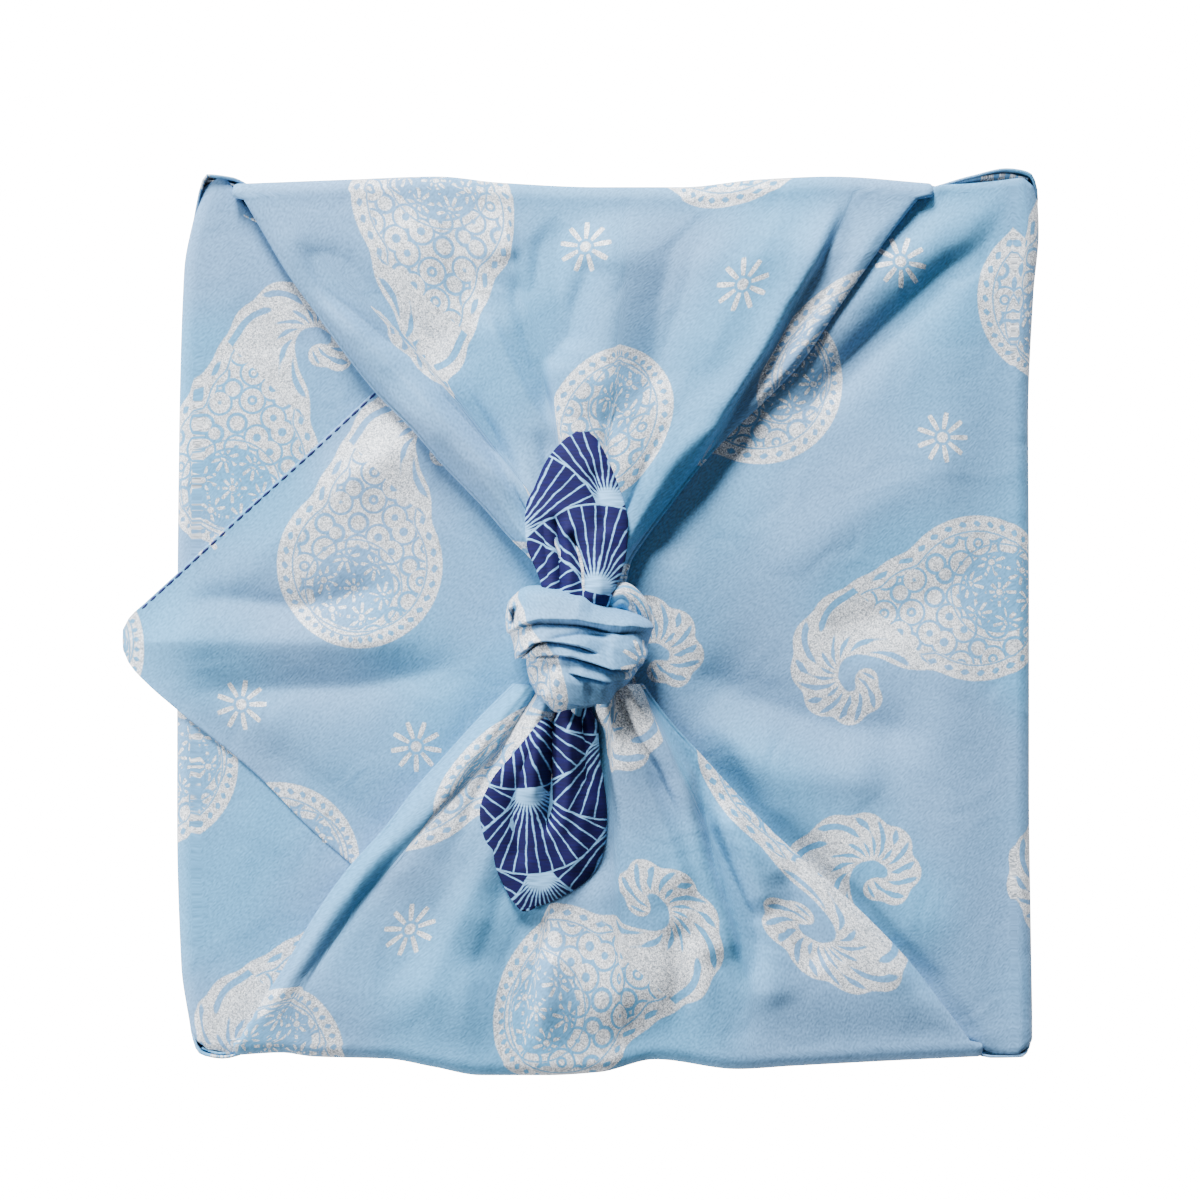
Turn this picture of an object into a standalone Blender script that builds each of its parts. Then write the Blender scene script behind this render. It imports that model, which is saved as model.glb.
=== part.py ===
"""A furoshiki: one square double-faced cotton cloth, laid cornerwise under a flat square box.

The left corner is folded over the lid, then the right corner over that, and the far and near
corners are gathered into arms that meet in a square knot with two free ends. The cloth is one
solid, made of sheets that follow its folds and are fused where they run into each other.
Lengths in the tables are millimetres from the middle of the box, x to the right, y away and
z up from the table. Every table has its columns named above it.
"""
import bpy
import bmesh
import numpy as np

MM = 0.001
CLOTH_SIDE = 708.0          # the cloth laid flat: a square
CLOTH = 1.0                 # thickness of its two sewn faces together
LAYER_GAP = 0.5             # air between two layers that lie on each other
TUCK = 0.15                 # a fused sheet is this much proud of the wall that it runs into

BOX_SIDE = 281.0
BOX_HEIGHT = 42.0
BOX_CORNER = 18.0           # radius of the upright edges
BOX_EDGE = 5.0              # radius of the top and bottom edges
BOX_LIFT = CLOTH + 0.3      # the box stands on the cloth

LID = BOX_LIFT + BOX_HEIGHT
UNDER_FLAP = LID + LAYER_GAP + CLOTH / 2            # mid-surface of the left flap
OVER_FLAP = UNDER_FLAP + CLOTH + LAYER_GAP          # mid-surface of the right flap
ARM_REST = OVER_FLAP + CLOTH + LAYER_GAP            # mid-surface of an arm where it lies flat
ROLL = 5.0                  # radius of the cloth over the box's edge
WALL_FACE = 145.0           # outer face of the wall, from the middle
SIDE_WALL = 144.0           # and of the two walls under the side flaps, where their edges are read
ARM_RISE = 11.0             # the arms climb this far on their way to the knot
ARM_EDGE = 5.0              # an arm's folded side rounds down over this width
ARM_FLOAT = 4.0             # and their folded sides leave the flap by this much at the knot
ARM_GATHER = 0.42           # and near the knot over this share of its width
FAR_END, NEAR_END = 5.0, 22.0   # the arms end this far from the middle, inside the knot


# --- shared maths ---------------------------------------------------------------------------

def smooth(t):
    t = np.clip(t, 0.0, 1.0)
    return t * t * (3.0 - 2.0 * t)


def curve(rows, at, column=1):
    """Smooth value of a column of a table, read against its first column, which rises.

    It never runs past the table's own values.
    """
    table = np.array(rows, float)
    x, y = table[:, 0], table[:, column]
    steep = np.diff(y) / np.diff(x)
    before, after = steep[:-1], steep[1:]
    turning = before * after <= 0.0
    between = 2.0 * before * after / np.where(turning, 1.0, before + after)
    slope = np.concatenate([steep[:1], np.where(turning, 0.0, between), steep[-1:]])
    at = np.clip(at, x[0], x[-1])
    i = np.clip(np.searchsorted(x, at, side="right") - 1, 0, len(x) - 2)
    span = x[i + 1] - x[i]
    t = (at - x[i]) / span
    rise = t * t * (3.0 - 2.0 * t)
    start = t * (1.0 - t) ** 2
    end = t * t * (t - 1.0)
    return y[i] + (y[i + 1] - y[i]) * rise + span * (slope[i] * start + slope[i + 1] * end)


def fold_lift(x, y, folds):
    """How far soft ridges (+) and troughs (-) move the cloth at x, y."""
    lift = np.zeros(np.shape(x))
    for width, height, points in folds:
        legs = list(zip(points, points[1:]))
        lengths = [np.hypot(b[0] - a[0], b[1] - a[1]) for a, b in legs]
        nearest = np.full(np.shape(x), np.inf)
        place = np.zeros(np.shape(x))
        run = 0.0
        for (a, b), length in zip(legs, lengths):
            t = ((x - a[0]) * (b[0] - a[0]) + (y - a[1]) * (b[1] - a[1])) / length ** 2
            t = np.clip(t, 0.0, 1.0)
            gap = np.hypot(x - a[0] - t * (b[0] - a[0]), y - a[1] - t * (b[1] - a[1]))
            place = np.where(gap < nearest, (run + t * length) / sum(lengths), place)
            nearest = np.minimum(gap, nearest)
            run += length
        ends = smooth(np.minimum(place, 1.0 - place) / 0.2 + 0.15)
        lift += height * np.exp(-(nearest / width) ** 2) * ends
    return lift


def mesh_object(name, points, faces):
    mesh = bpy.data.meshes.new(name)
    mesh.from_pydata([tuple(p * MM) for p in np.asarray(points, float)], [], faces)
    mesh.update()
    obj = bpy.data.objects.new(name, mesh)
    bpy.context.scene.collection.objects.link(obj)
    return obj


def sheet(name, middle, thickness=CLOTH):
    """A closed sheet round a grid of mid-surface points, [row, column, xyz]."""
    rows, columns = middle.shape[:2]
    along = np.gradient(middle, axis=0)
    across = np.gradient(middle, axis=1)
    normal = np.cross(along, across)
    normal /= np.linalg.norm(normal, axis=2, keepdims=True)
    faces_out = middle + normal * thickness / 2
    faces_in = middle - normal * thickness / 2
    points = np.concatenate([faces_out.reshape(-1, 3), faces_in.reshape(-1, 3)])
    index = np.arange(rows * columns).reshape(rows, columns)
    back = rows * columns
    faces = []
    for r in range(rows - 1):
        for c in range(columns - 1):
            a, b, d, e = index[r, c], index[r, c + 1], index[r + 1, c + 1], index[r + 1, c]
            # Both faces are cut along the same diagonal, so that they stay apart.
            short = np.linalg.norm(points[a] - points[d]) < np.linalg.norm(points[b] - points[e])
            for f in ((d, b, a), (e, d, a)) if short else ((e, b, a), (e, d, b)):
                faces.append(f)
                faces.append(tuple(i + back for i in reversed(f)))
    rim = np.concatenate([index[0, :-1], index[:-1, -1], index[-1, :0:-1], index[:0:-1, 0]])
    for a, b in zip(rim, np.roll(rim, -1)):
        faces.append((a, b, b + back, a + back))
    obj = mesh_object(name, points, [tuple(int(i) for i in f) for f in faces])
    face_outwards(obj)
    return obj


def face_outwards(obj):
    bm = bmesh.new()
    bm.from_mesh(obj.data)
    bmesh.ops.recalc_face_normals(bm, faces=bm.faces)
    if bm.calc_volume(signed=True) < 0:
        bmesh.ops.reverse_faces(bm, faces=bm.faces)
    bm.to_mesh(obj.data)
    bm.free()


def fuse(name, pieces):
    """One solid from overlapping closed sheets."""
    body = pieces[0]
    body.name = name
    for piece in pieces[1:]:
        join = body.modifiers.new(piece.name, "BOOLEAN")
        join.operation = "UNION"
        join.solver = "MANIFOLD"
        join.object = piece
    graph = bpy.context.evaluated_depsgraph_get()
    whole = bpy.data.meshes.new_from_object(body.evaluated_get(graph))
    body.modifiers.clear()
    body.data = whole
    whole.name = name
    for piece in pieces[1:]:
        bpy.data.objects.remove(piece)
    return body


def material(name, colour, roughness):
    made = bpy.data.materials.new(name)
    made.use_nodes = True
    shader = made.node_tree.nodes["Principled BSDF"]
    shader.inputs["Base Color"].default_value = (*colour, 1.0)
    shader.inputs["Roughness"].default_value = roughness
    shader.inputs["Metallic"].default_value = 0.0
    return made


# --- base and walls ---------------------------------------------------------------------------

# One row for each station round the wall, anticlockwise from the near left corner: the outer face
# at the foot and at the rim, and how high the rim stands. The four corners end in open lips, the
# small pockets that the side flaps and the arms leave between them.
# foot x, foot y, rim x, rim y, rim z
WALL = (
    (-138.5, -143.5, -138.0, -147.6, 45.0),
    (-131.0, -145.0, -130.0, -149.4, 45.6),
    (-118.0, -145.0, -118.0, -147.0, 43.0),
    (-60.0, -145.0, -60.0, -144.6, 40.0),
    (0.0, -145.0, 0.0, -144.6, 40.0),
    (60.0, -145.0, 60.0, -144.6, 40.0),
    (114.0, -145.0, 116.0, -145.4, 42.0),
    (130.0, -145.0, 132.0, -149.2, 45.6),
    (138.5, -143.5, 141.8, -149.0, 45.6),
    (144.4, -138.0, 145.6, -143.0, 41.0),
    (145.0, -124.0, 145.4, -124.0, 36.0),
    (145.2, -112.0, 145.2, -112.0, 36.0),
    (144.5, -58.0, 144.5, -58.0, 36.0),
    (144.5, 6.0, 144.5, 6.0, 36.0),
    (144.2, 68.0, 144.2, 68.0, 36.0),
    (145.4, 108.0, 145.8, 108.0, 36.0),
    (145.6, 124.0, 147.2, 124.0, 36.0),
    (144.6, 137.0, 147.6, 143.0, 43.0),
    (139.5, 144.0, 144.5, 151.6, 46.6),
    (128.0, 145.0, 136.0, 153.2, 47.0),
    (114.0, 145.0, 124.0, 150.6, 46.0),
    (96.0, 145.0, 104.0, 145.8, 43.0),
    (60.0, 145.0, 60.0, 144.6, 40.0),
    (0.0, 145.0, 0.0, 144.2, 40.0),
    (-60.0, 145.0, -60.0, 144.6, 40.0),
    (-112.0, 145.0, -116.0, 146.0, 43.0),
    (-128.0, 145.0, -127.0, 150.4, 46.0),
    (-137.0, 144.0, -135.2, 151.2, 46.6),
    (-142.0, 137.0, -139.8, 139.5, 42.0),
    (-143.4, 121.0, -143.2, 121.0, 36.0),
    (-144.6, 98.0, -144.6, 98.0, 36.0),
    (-145.2, 68.0, -145.2, 68.0, 36.0),
    (-145.9, 0.0, -145.9, 0.0, 36.0),
    (-146.0, -69.0, -146.0, -69.0, 36.0),
    (-145.0, -112.0, -145.0, -112.0, 36.0),
    (-143.4, -134.0, -142.0, -136.0, 40.0),
)
FOOT_ROLL = 4.0             # radius of the cloth at the foot of the wall
# share of the wall's height, share of the way from foot outline to rim outline
WALL_LEVELS = ((0.12, 0.0), (0.35, 0.12), (0.6, 0.4), (0.8, 0.72), (1.0, 1.0))
STATION_STEP = 22.0         # the wall has a station at each row, and on the long sides this far apart


def ring_stations():
    """The wall's table read as one smooth closed curve."""
    table = np.array(WALL)
    table = np.concatenate([table[-3:], table, table[:3]])
    step = np.hypot(*np.diff(table[:, :2], axis=0).T)
    length = np.concatenate([[0.0], np.cumsum(step)])
    at = []
    for start, end in zip(length[3:-3], length[4:-2]):
        parts = int(np.ceil((end - start) / STATION_STEP))
        at.extend(np.linspace(start, end, parts, endpoint=False))
    rows = np.column_stack([length, table])
    return np.column_stack([curve(rows, at, column) for column in range(1, 6)])


def base_and_walls():
    ring = ring_stations()
    foot, rim, rim_z = ring[:, :2], ring[:, 2:4], ring[:, 4]
    outward = np.roll(foot, -1, axis=0) - np.roll(foot, 1, axis=0)
    outward = np.column_stack([outward[:, 1], -outward[:, 0]])
    outward /= np.linalg.norm(outward, axis=1, keepdims=True)

    def ring_at(plan, z):
        return np.column_stack([plan, np.broadcast_to(z, len(plan))])

    outside = [ring_at(foot * 0.5, 0.0), ring_at(foot - outward * FOOT_ROLL, 0.0)]
    for turn in (30, 60):
        lean = FOOT_ROLL * (1 - np.sin(np.radians(turn)))
        drop = FOOT_ROLL * (1 - np.cos(np.radians(turn)))
        outside.append(ring_at(foot - outward * lean, drop))
    inside = [ring_at(foot * 0.5, CLOTH), ring_at(foot - outward * FOOT_ROLL, CLOTH)]
    inside.append(ring_at(foot - outward * (CLOTH + 0.35 * FOOT_ROLL), CLOTH + 0.35 * FOOT_ROLL))
    for share, flare in WALL_LEVELS:
        plan = foot + (rim - foot) * flare
        outside.append(ring_at(plan, share * rim_z))
        inside.append(ring_at(plan - outward * CLOTH, share * rim_z))
    rings = outside + inside[::-1]
    count = len(foot)
    points = [np.array([[0.0, 0.0, 0.0]])] + rings + [np.array([[0.0, 0.0, CLOTH]])]
    last = 1 + count * len(rings)
    faces = []
    for i in range(count):
        j = (i + 1) % count
        faces.append((0, 1 + j, 1 + i))
        for k in range(len(rings) - 1):
            low, high = 1 + k * count, 1 + (k + 1) * count
            faces.append((low + i, low + j, high + j, high + i))
        top = 1 + (len(rings) - 1) * count
        faces.append((top + i, top + j, last))
    obj = mesh_object("base_and_walls", np.concatenate(points), faces)
    face_outwards(obj)
    return obj


# --- the two side flaps -------------------------------------------------------------------------

# Outer face of the wall under each flap's roll. y, x
LEFT_SIDE = ((-150, -140.0), (-140, -141.4), (-118, -144.6), (-69, -146.0), (0, -145.9),
             (68, -145.2), (119, -143.6), (139, -139.8), (150, -137.0))
RIGHT_SIDE = ((-150, 145.4), (-140, 145.6), (-112, 145.2), (-58, 144.5), (6, 144.5),
              (68, 144.2), (111, 146.0), (132, 147.8), (150, 147.0))

# Each flap's edges on the lid, from its own side of the box to its corner.
# reach across the lid, far edge y, near edge y
UNDER_EDGES = ((-146.0, 143.0, -143.0), (-137.0, 146.5, -145.0), (-126.0, 141.5, -145.0),
               (-116.0, 134.0, -142.0), (0.0, 133.0, -140.0), (30.0, 108.0, -110.0),
               (90.0, 46.0, -50.0), (130.0, 7.0, -9.0))
OVER_EDGES = ((-164.6, -3.6, -10.4), (-163.0, -0.2, -14.5), (-157.0, 5.2, -21.0),
              (-145.0, 15.8, -31.0), (-120.0, 39.0, -51.0), (-100.0, 57.0, -71.0),
              (-76.5, 78.9, -91.0), (-45.0, 108.0, -119.0), (-18.0, 133.5, -141.0),
              (0.0, 141.5, -142.0), (60.0, 142.0, -142.0), (102.0, 142.4, -142.0),
              (113.0, 147.2, -142.4), (122.0, 147.6, -142.8), (130.0, 147.6, -146.8),
              (140.0, 147.4, -147.2), (148.0, 144.0, -144.0))

# Soft folds. width, lift, points (x, y) along it
OVER_FOLDS = (
    (7.0, -2.0, ((142, 141), (129, 125), (118, 120), (90, 94), (63, 68))),
    (6.0, -1.3, ((52, 70), (15, 19))),
    (6.0, -1.1, ((-146, 9), (-103, 4), (-71, 12))),
    (7.0, -1.1, ((-146, -25), (-85, -23), (-42, -15))),
    (8.0, 1.2, ((-158, -7), (-110, -8), (-60, -7))),
    (9.0, 1.0, ((136, -60), (70, -40), (30, -20))),
)
OVER_SWELL = 1.8            # between its edges the upper flap stands this far off the lower one
SWELL_RUN = 26.0            # and it reaches that height this far in from an edge
# The corner of the cloth, from the middle of the base, up the right wall and across the lid.
TIP = WALL_FACE - (CLOTH_SIDE / np.sqrt(2) - WALL_FACE - OVER_FLAP)
TIP_START = -138.0          # left of this the loose corner bends down
TIP_DROOP = 7.0


def over_height(x, y):
    """Mid-surface height of the upper flap."""
    inset = np.minimum(curve(OVER_EDGES, x, 1) - y, y - curve(OVER_EDGES, x, 2))
    inset = np.minimum(inset, RIGHT_SIDE[4][1] - ROLL - x)
    swell = smooth(inset / SWELL_RUN)
    lift = swell * (OVER_SWELL + fold_lift(x, y, OVER_FOLDS))
    past = np.clip(TIP_START - x, 0.0, None) / (TIP_START - TIP)
    return OVER_FLAP + np.maximum(lift, -0.4 * LAYER_GAP) - TIP_DROOP * past ** 1.6


def under_height(x, y):
    """Mid-surface height of the lower flap, which lies flat on the lid."""
    return np.full(np.shape(x), UNDER_FLAP)


# On the wall the flap is narrower than on the lid. height, narrower at each end by
FLAP_WALL_ROWS = ((24.0, 26.0), (32.0, 14.0))
EDGE_DRAW = 5.0             # the same at the start of the roll over the box's edge


def flap(name, side, edges, level, height, over_wall, tip_x, sections, across):
    """A corner of the cloth that comes up a side wall and lies across the lid.

    side is -1 for the left wall and 1 for the right one; over_wall is that wall's table, and
    height gives the flap's middle surface on the lid.
    """
    share = np.linspace(0.0, 1.0, across)
    rows = []
    far, near = curve(edges, side * SIDE_WALL, 1), curve(edges, side * SIDE_WALL, 2)
    for z, narrower in FLAP_WALL_ROWS + ((level - ROLL, EDGE_DRAW),):
        y = far - narrower + (near - far + 2 * narrower) * share
        x = curve(over_wall, y) - side * CLOTH / 2
        rows.append(np.column_stack([x, y, np.full(across, z)]))
    for turn in (35, 70):
        spin = np.radians(turn)
        narrower = EDGE_DRAW * (1 - turn / 90)
        y = far - narrower + (near - far + 2 * narrower) * share
        x = curve(over_wall, y) - side * (CLOTH / 2 + ROLL * (1 - np.cos(spin)))
        rows.append(np.column_stack([x, y, np.full(across, level - ROLL * (1 - np.sin(spin)))]))
    start = side * (SIDE_WALL - ROLL)
    for way in np.linspace(0.0, 1.0, sections):
        x = start + (tip_x - start) * way
        far, near = curve(edges, x, 1), curve(edges, x, 2)
        y = far + (near - far) * share
        xs = np.full(across, x)
        if way == 0.0:
            xs = curve(over_wall, y) - side * (CLOTH / 2 + ROLL)
        rows.append(np.column_stack([xs, y, height(xs, y)]))
    return sheet(name, np.array(rows), CLOTH + TUCK)


# --- the two arms ---------------------------------------------------------------------------------

# Where the arm's folded sides run on the lid, by distance from the middle of the box.
# distance, left x, right x
FAR_ARM = ((5, -17.5, 4.0), (19, -22.5, 7.0), (28, -30.9, 12.6), (38, -39.6, 20.1), (52, -53.0, 30.9),
           (64, -63.4, 41.8), (77, -76.2, 55.5), (88, -85.0, 65.6), (103, -95.9, 75.8),
           (118, -106.8, 86.4), (131, -114.6, 95.9), (143, -121.7, 105.6), (148, -124.8, 109.8))
NEAR_ARM = ((19, -26.5, 9.0), (34, -41.5, 20.1), (46, -52.4, 30.9), (58, -63.2, 41.8),
            (72, -74.1, 55.0), (84, -85.0, 68.2), (99, -95.9, 85.0), (117, -106.8, 102.8),
            (131, -115.9, 114.0), (142, -122.4, 122.4), (148, -124.4, 126.5))
# The same wall's outer face, which waves. x, distance
FAR_WAVES = ((-125, 148.2), (-87, 149.6), (-57, 150.6), (-36, 148.6), (-2, 147.1), (26, 147.1),
             (52, 149.6), (77, 150.6), (110, 148.4))
NEAR_WAVES = ((-125, 148.4), (-110, 147.6), (-99, 148.9), (-74, 149.6), (-58, 152.3),
              (-42, 155.0), (-20, 155.0), (-2, 154.0), (17, 149.8), (45, 153.0), (63, 152.0),
              (96, 150.3), (126, 148.9))
FOOT_SPREAD = 137.0         # at the foot the arm is as wide as the box, and runs into the wall

# width, lift, points (x, distance)
FAR_FOLDS = (
    (5.0, -3.6, ((-96, 109), (-63, 90), (-52, 71), (-41, 58), (-26, 45))),
    (4.0, 2.6, ((-96, 97), (-70, 72), (-50, 52), (-34, 36))),
    (4.5, -3.8, ((80, 126), (69, 109), (45, 77), (34, 60))),
    (4.5, 2.4, ((87, 147), (62, 107), (42, 76), (33, 60))),
    (4.0, -2.0, ((-31, 112), (-20, 92), (-19, 66))),
    (4.0, -2.0, ((-11, 110), (-20, 92))),
    (9.0, -2.4, ((42, 146), (25, 124), (20, 100))),
    (13.0, 2.6, ((4, 140), (3, 100), (0, 62))),
    (9.0, 1.6, ((-70, 146), (-58, 110), (-40, 76))),
)
NEAR_FOLDS = (
    (4.5, 2.4, ((-118, 136), (-92, 94), (-60, 55), (-34, 29))),
    (5.0, -3.4, ((-84, 128), (-74, 113), (-58, 89), (-41, 71), (-30, 56))),
    (6.0, -3.0, ((-19, 97), (-27, 118), (-30, 150))),
    (4.5, 2.8, ((17, 32), (27, 64), (34, 89), (45, 121), (50, 136))),
    (5.0, -3.2, ((14, 44), (22, 70), (27, 95), (36, 124))),
    (8.0, 2.6, ((39, 63), (55, 100), (70, 126))),
    (7.0, -2.4, ((26, 122), (25, 149))),
    (10.0, 2.2, ((-50, 148), (-46, 118), (-38, 90))),
    (8.0, 1.8, ((5, 146), (2, 110), (-4, 80))),
)
ARM_WALL_LEVELS = (4.0, 12.0, 22.0, 32.0)
WAVE_BASE = 147.0           # where the wall's waves stand further out, the edge is also higher
ROLL_START = 142.0          # where the roll over the edge ends and the lid begins, before the waves
EDGE_ROW = 148.0            # the arm's tables are read here for its width over the edge
ARM_SECTIONS = 14
ARM_ACROSS = 22


def arm(name, side, edges, waves, folds, end):
    """A gathered corner: up the wall, over the edge and in a fan to the knot. side is +1 for far."""
    share = np.linspace(0.0, 1.0, ARM_ACROSS)
    left, right = curve(edges, EDGE_ROW, 1), curve(edges, EDGE_ROW, 2)
    out_x = left + (right - left) * share
    wall = curve(waves, out_x) - CLOTH / 2
    crest = ARM_REST + 0.25 * (wall - WAVE_BASE)
    rows = []
    for z in ARM_WALL_LEVELS:
        up = z / (ARM_REST - ROLL)
        x = (share * 2 - 1) * FOOT_SPREAD * (1 - up) + out_x * up
        swell = smooth((z - ARM_WALL_LEVELS[0]) / 30.0)
        distance = WALL_FACE + (curve(waves, x) - CLOTH / 2 - WALL_FACE) * swell
        rows.append(np.column_stack([x, distance, np.full(ARM_ACROSS, z)]))
    for turn in (0, 35, 65):
        spin = np.radians(turn)
        distance = wall - ROLL * (1 - np.cos(spin))
        rows.append(np.column_stack([out_x, distance, crest - ROLL * (1 - np.sin(spin))]))
    for way in np.linspace(0.0, 1.0, ARM_SECTIONS):
        station = ROLL_START + (end - ROLL_START) * way
        distance = station + (wall - ROLL - ROLL_START) * (1 - smooth(way * 2.5))
        left, right = curve(edges, station, 1), curve(edges, station, 2)
        x = left + (right - left) * share
        inset = np.minimum(x - left, right - x)
        rounding = ARM_EDGE + (ARM_GATHER * (right - left) - ARM_EDGE) * smooth(way * 2.0 - 1.0)
        round_off = np.sqrt(1 - (1 - np.clip(inset / rounding, 0.0, 1.0)) ** 2)
        held = smooth(way * 6.0)
        lift = 1.2 * held + ARM_RISE * way ** 1.8 + held * fold_lift(x, distance, folds)
        low = over_height(x, side * distance) + CLOTH + LAYER_GAP
        low = low + (crest - ARM_REST) * (1 - smooth(way * 3.0))
        low = low + ARM_FLOAT * smooth(way * 3.0 - 2.0)
        z = low + np.maximum(lift, 0.0) * round_off
        rows.append(np.column_stack([x, distance, z]))
    middle = np.array(rows)
    middle[:, :, 1] *= side
    return sheet(name, middle)


# --- knot and free ends ----------------------------------------------------------------------------

# The bands of the square knot, each an oval section carried along its middle line.
# x, y, z, half width, half height
KNOT_BANDS = {
    "knot_core": ((-26, -8, 58, 9, 8), (-20, -9, 60, 16, 10), (-8, -11, 61, 18, 11.5),
                  (4, -11, 60, 15, 11), (11, -9, 57, 9, 9)),
    "knot_upper_band": ((-31.5, 1, 58, 3.5, 5), (-28, 2.5, 63, 6, 5), (-21.4, 4.4, 68, 7, 5),
                        (-9, 2.6, 70, 6.6, 5), (-1, 0.8, 69, 5.6, 5), (6, -1.2, 66, 4, 4.5),
                        (11, -2.3, 63, 2.8, 3.5), (15.4, -3.2, 60, 1.0, 1.6)),
    "knot_middle_band": ((-27, -8, 58, 4, 5), (-23, -5.5, 65, 4.6, 5), (-14, -5, 69, 5.4, 5),
                         (-7, -6.7, 71, 6.6, 5), (1, -9.3, 71, 7.8, 5), (8, -10, 67, 7.6, 5),
                         (13, -9.2, 60, 5, 5), (14.2, -9, 55, 4, 4)),
    "knot_thin_band": ((-26, -11.5, 58, 3, 4), (-20, -9.8, 66.4, 4, 4.2),
                       (-13, -10.6, 69, 4, 4.2), (-5, -13, 69.5, 4.2, 4.2),
                       (4, -15.6, 66.4, 3.6, 4), (11, -14, 60, 3.4, 4)),
    "knot_lower_band": ((-25.5, -14.5, 55, 3.5, 6), (-21.5, -19.8, 60, 9.4, 7.5),
                        (-13, -21.2, 64, 10.4, 8.5), (-5, -20.8, 64, 9.2, 8.5),
                        (2, -20, 61, 7.4, 7.5), (9, -17, 56, 4.6, 6)),
    "knot_back_lobe": ((-2, 5, 60, 4, 5), (5, 7.6, 63, 6, 6), (11, 3.6, 61, 5.6, 6),
                       (14.5, -2, 57, 3, 4)),
}
BAND_SIDES = 10
BAND_SECTIONS = 10

# The two free ends, the cloth's far and near corners, reverse side up, each with a deep fold.
# distance from the knot's middle, left x, right x, height of the middle surface
UPPER_TAIL = ((1.0, -18.0, 0.0, 66.0), (8.0, -19.6, 1.6, 69.0), (15.6, -22.0, 4.8, 68.0),
              (24.5, -25.5, 6.8, 66.0), (32.6, -26.2, 7.1, 64.5), (38.0, -25.8, 6.1, 63.5),
              (44.0, -23.1, 4.1, 62.5), (53.0, -19.0, 0.5, 61.0), (59.5, -13.6, -2.9, 59.8),
              (62.6, -9.2, -5.6, 59.2))
LOWER_TAIL = ((24.0, -19.0, -6.0, 63.0), (30.3, -21.1, -5.1, 66.0), (35.4, -22.8, -3.1, 66.5),
              (46.2, -30.9, -2.4, 65.0), (54.1, -37.4, -1.0, 63.5), (64.9, -41.5, 0.0, 61.5),
              (72.8, -40.1, -0.3, 60.5), (81.6, -37.1, -2.4, 59.0), (86.7, -34.7, -5.8, 58.3),
              (91.1, -32.6, -11.9, 57.8), (94.5, -31.0, -18.7, 57.2), (96.9, -29.4, -25.6, 56.8))
TAIL_SWELL = 4.0            # the two lobes beside the fold stand this much higher
TAIL_GROOVE = 5.0           # depth of the fold
TAIL_THICK = 1.6
# width, lift, points (x, distance)
UPPER_GROOVE = ((3.8, -TAIL_GROOVE, ((-10.5, 2), (-12.0, 14), (-15.3, 33), (-17, 42))),
                (4.0, -2.5, ((-4, 52), (-2, 34), (0, 14))))
LOWER_GROOVE = ((4.0, -TAIL_GROOVE, ((-14, 24), (-17.7, 36), (-17.7, 52), (-19.0, 66), (-21, 76))),
                (4.0, -2.5, ((-28, 84), (-31, 66), (-28, 50))))


def band(name, rows):
    """An oval section swept along a line, closed at both ends."""
    table = np.array(rows, float)
    step = np.linalg.norm(np.diff(table[:, :3], axis=0), axis=1)
    length = np.concatenate([[0.0], np.cumsum(step)])
    at = np.linspace(0.0, length[-1], BAND_SECTIONS)
    keyed = np.column_stack([length, table])
    path = np.column_stack([curve(keyed, at, column) for column in range(1, 6)])
    middle, half_width, half_height = path[:, :3], path[:, 3], path[:, 4]
    run = np.gradient(middle, axis=0)
    run /= np.linalg.norm(run, axis=1, keepdims=True)
    wide = np.cross(run, np.array([0.0, 0.0, 1.0]))
    wide /= np.linalg.norm(wide, axis=1, keepdims=True)
    high = np.cross(wide, run)
    turn = 2 * np.pi * np.arange(BAND_SIDES) / BAND_SIDES
    ring = (middle[:, None, :]
            + np.cos(turn)[None, :, None] * (wide * half_width[:, None])[:, None, :]
            + np.sin(turn)[None, :, None] * (high * half_height[:, None])[:, None, :])
    points = np.concatenate([ring.reshape(-1, 3), middle[:1], middle[-1:]])
    first, last = len(points) - 2, len(points) - 1
    top = (BAND_SECTIONS - 1) * BAND_SIDES
    faces = []
    for i in range(BAND_SIDES):
        j = (i + 1) % BAND_SIDES
        faces.append((first, j, i))
        faces.append((last, top + i, top + j))
        for k in range(BAND_SECTIONS - 1):
            low, high_ring = k * BAND_SIDES, (k + 1) * BAND_SIDES
            faces.append((low + i, low + j, high_ring + j, high_ring + i))
    obj = mesh_object(name, points, faces)
    face_outwards(obj)
    return obj


def free_end(name, side, outline, folds, sections=13, across=11):
    table = np.array(outline)
    share = np.linspace(0.0, 1.0, across)
    rows = []
    for distance in np.linspace(table[0, 0], table[-1, 0], sections):
        left, right = curve(outline, distance, 1), curve(outline, distance, 2)
        x = left + (right - left) * share
        dome = np.sqrt(np.clip(1 - (2 * share - 1) ** 2, 0.0, 1.0))
        swell = TAIL_SWELL * smooth((right - left) / 24.0)
        z = curve(outline, distance, 3) + swell * (dome - 0.6)
        z = z + fold_lift(x, np.full(across, distance), folds)
        rows.append(np.column_stack([x, np.full(across, distance), z]))
    middle = np.array(rows)
    middle[:, :, 1] *= side
    return sheet(name, middle, TAIL_THICK)


# --- the box ------------------------------------------------------------------------------------------

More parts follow.
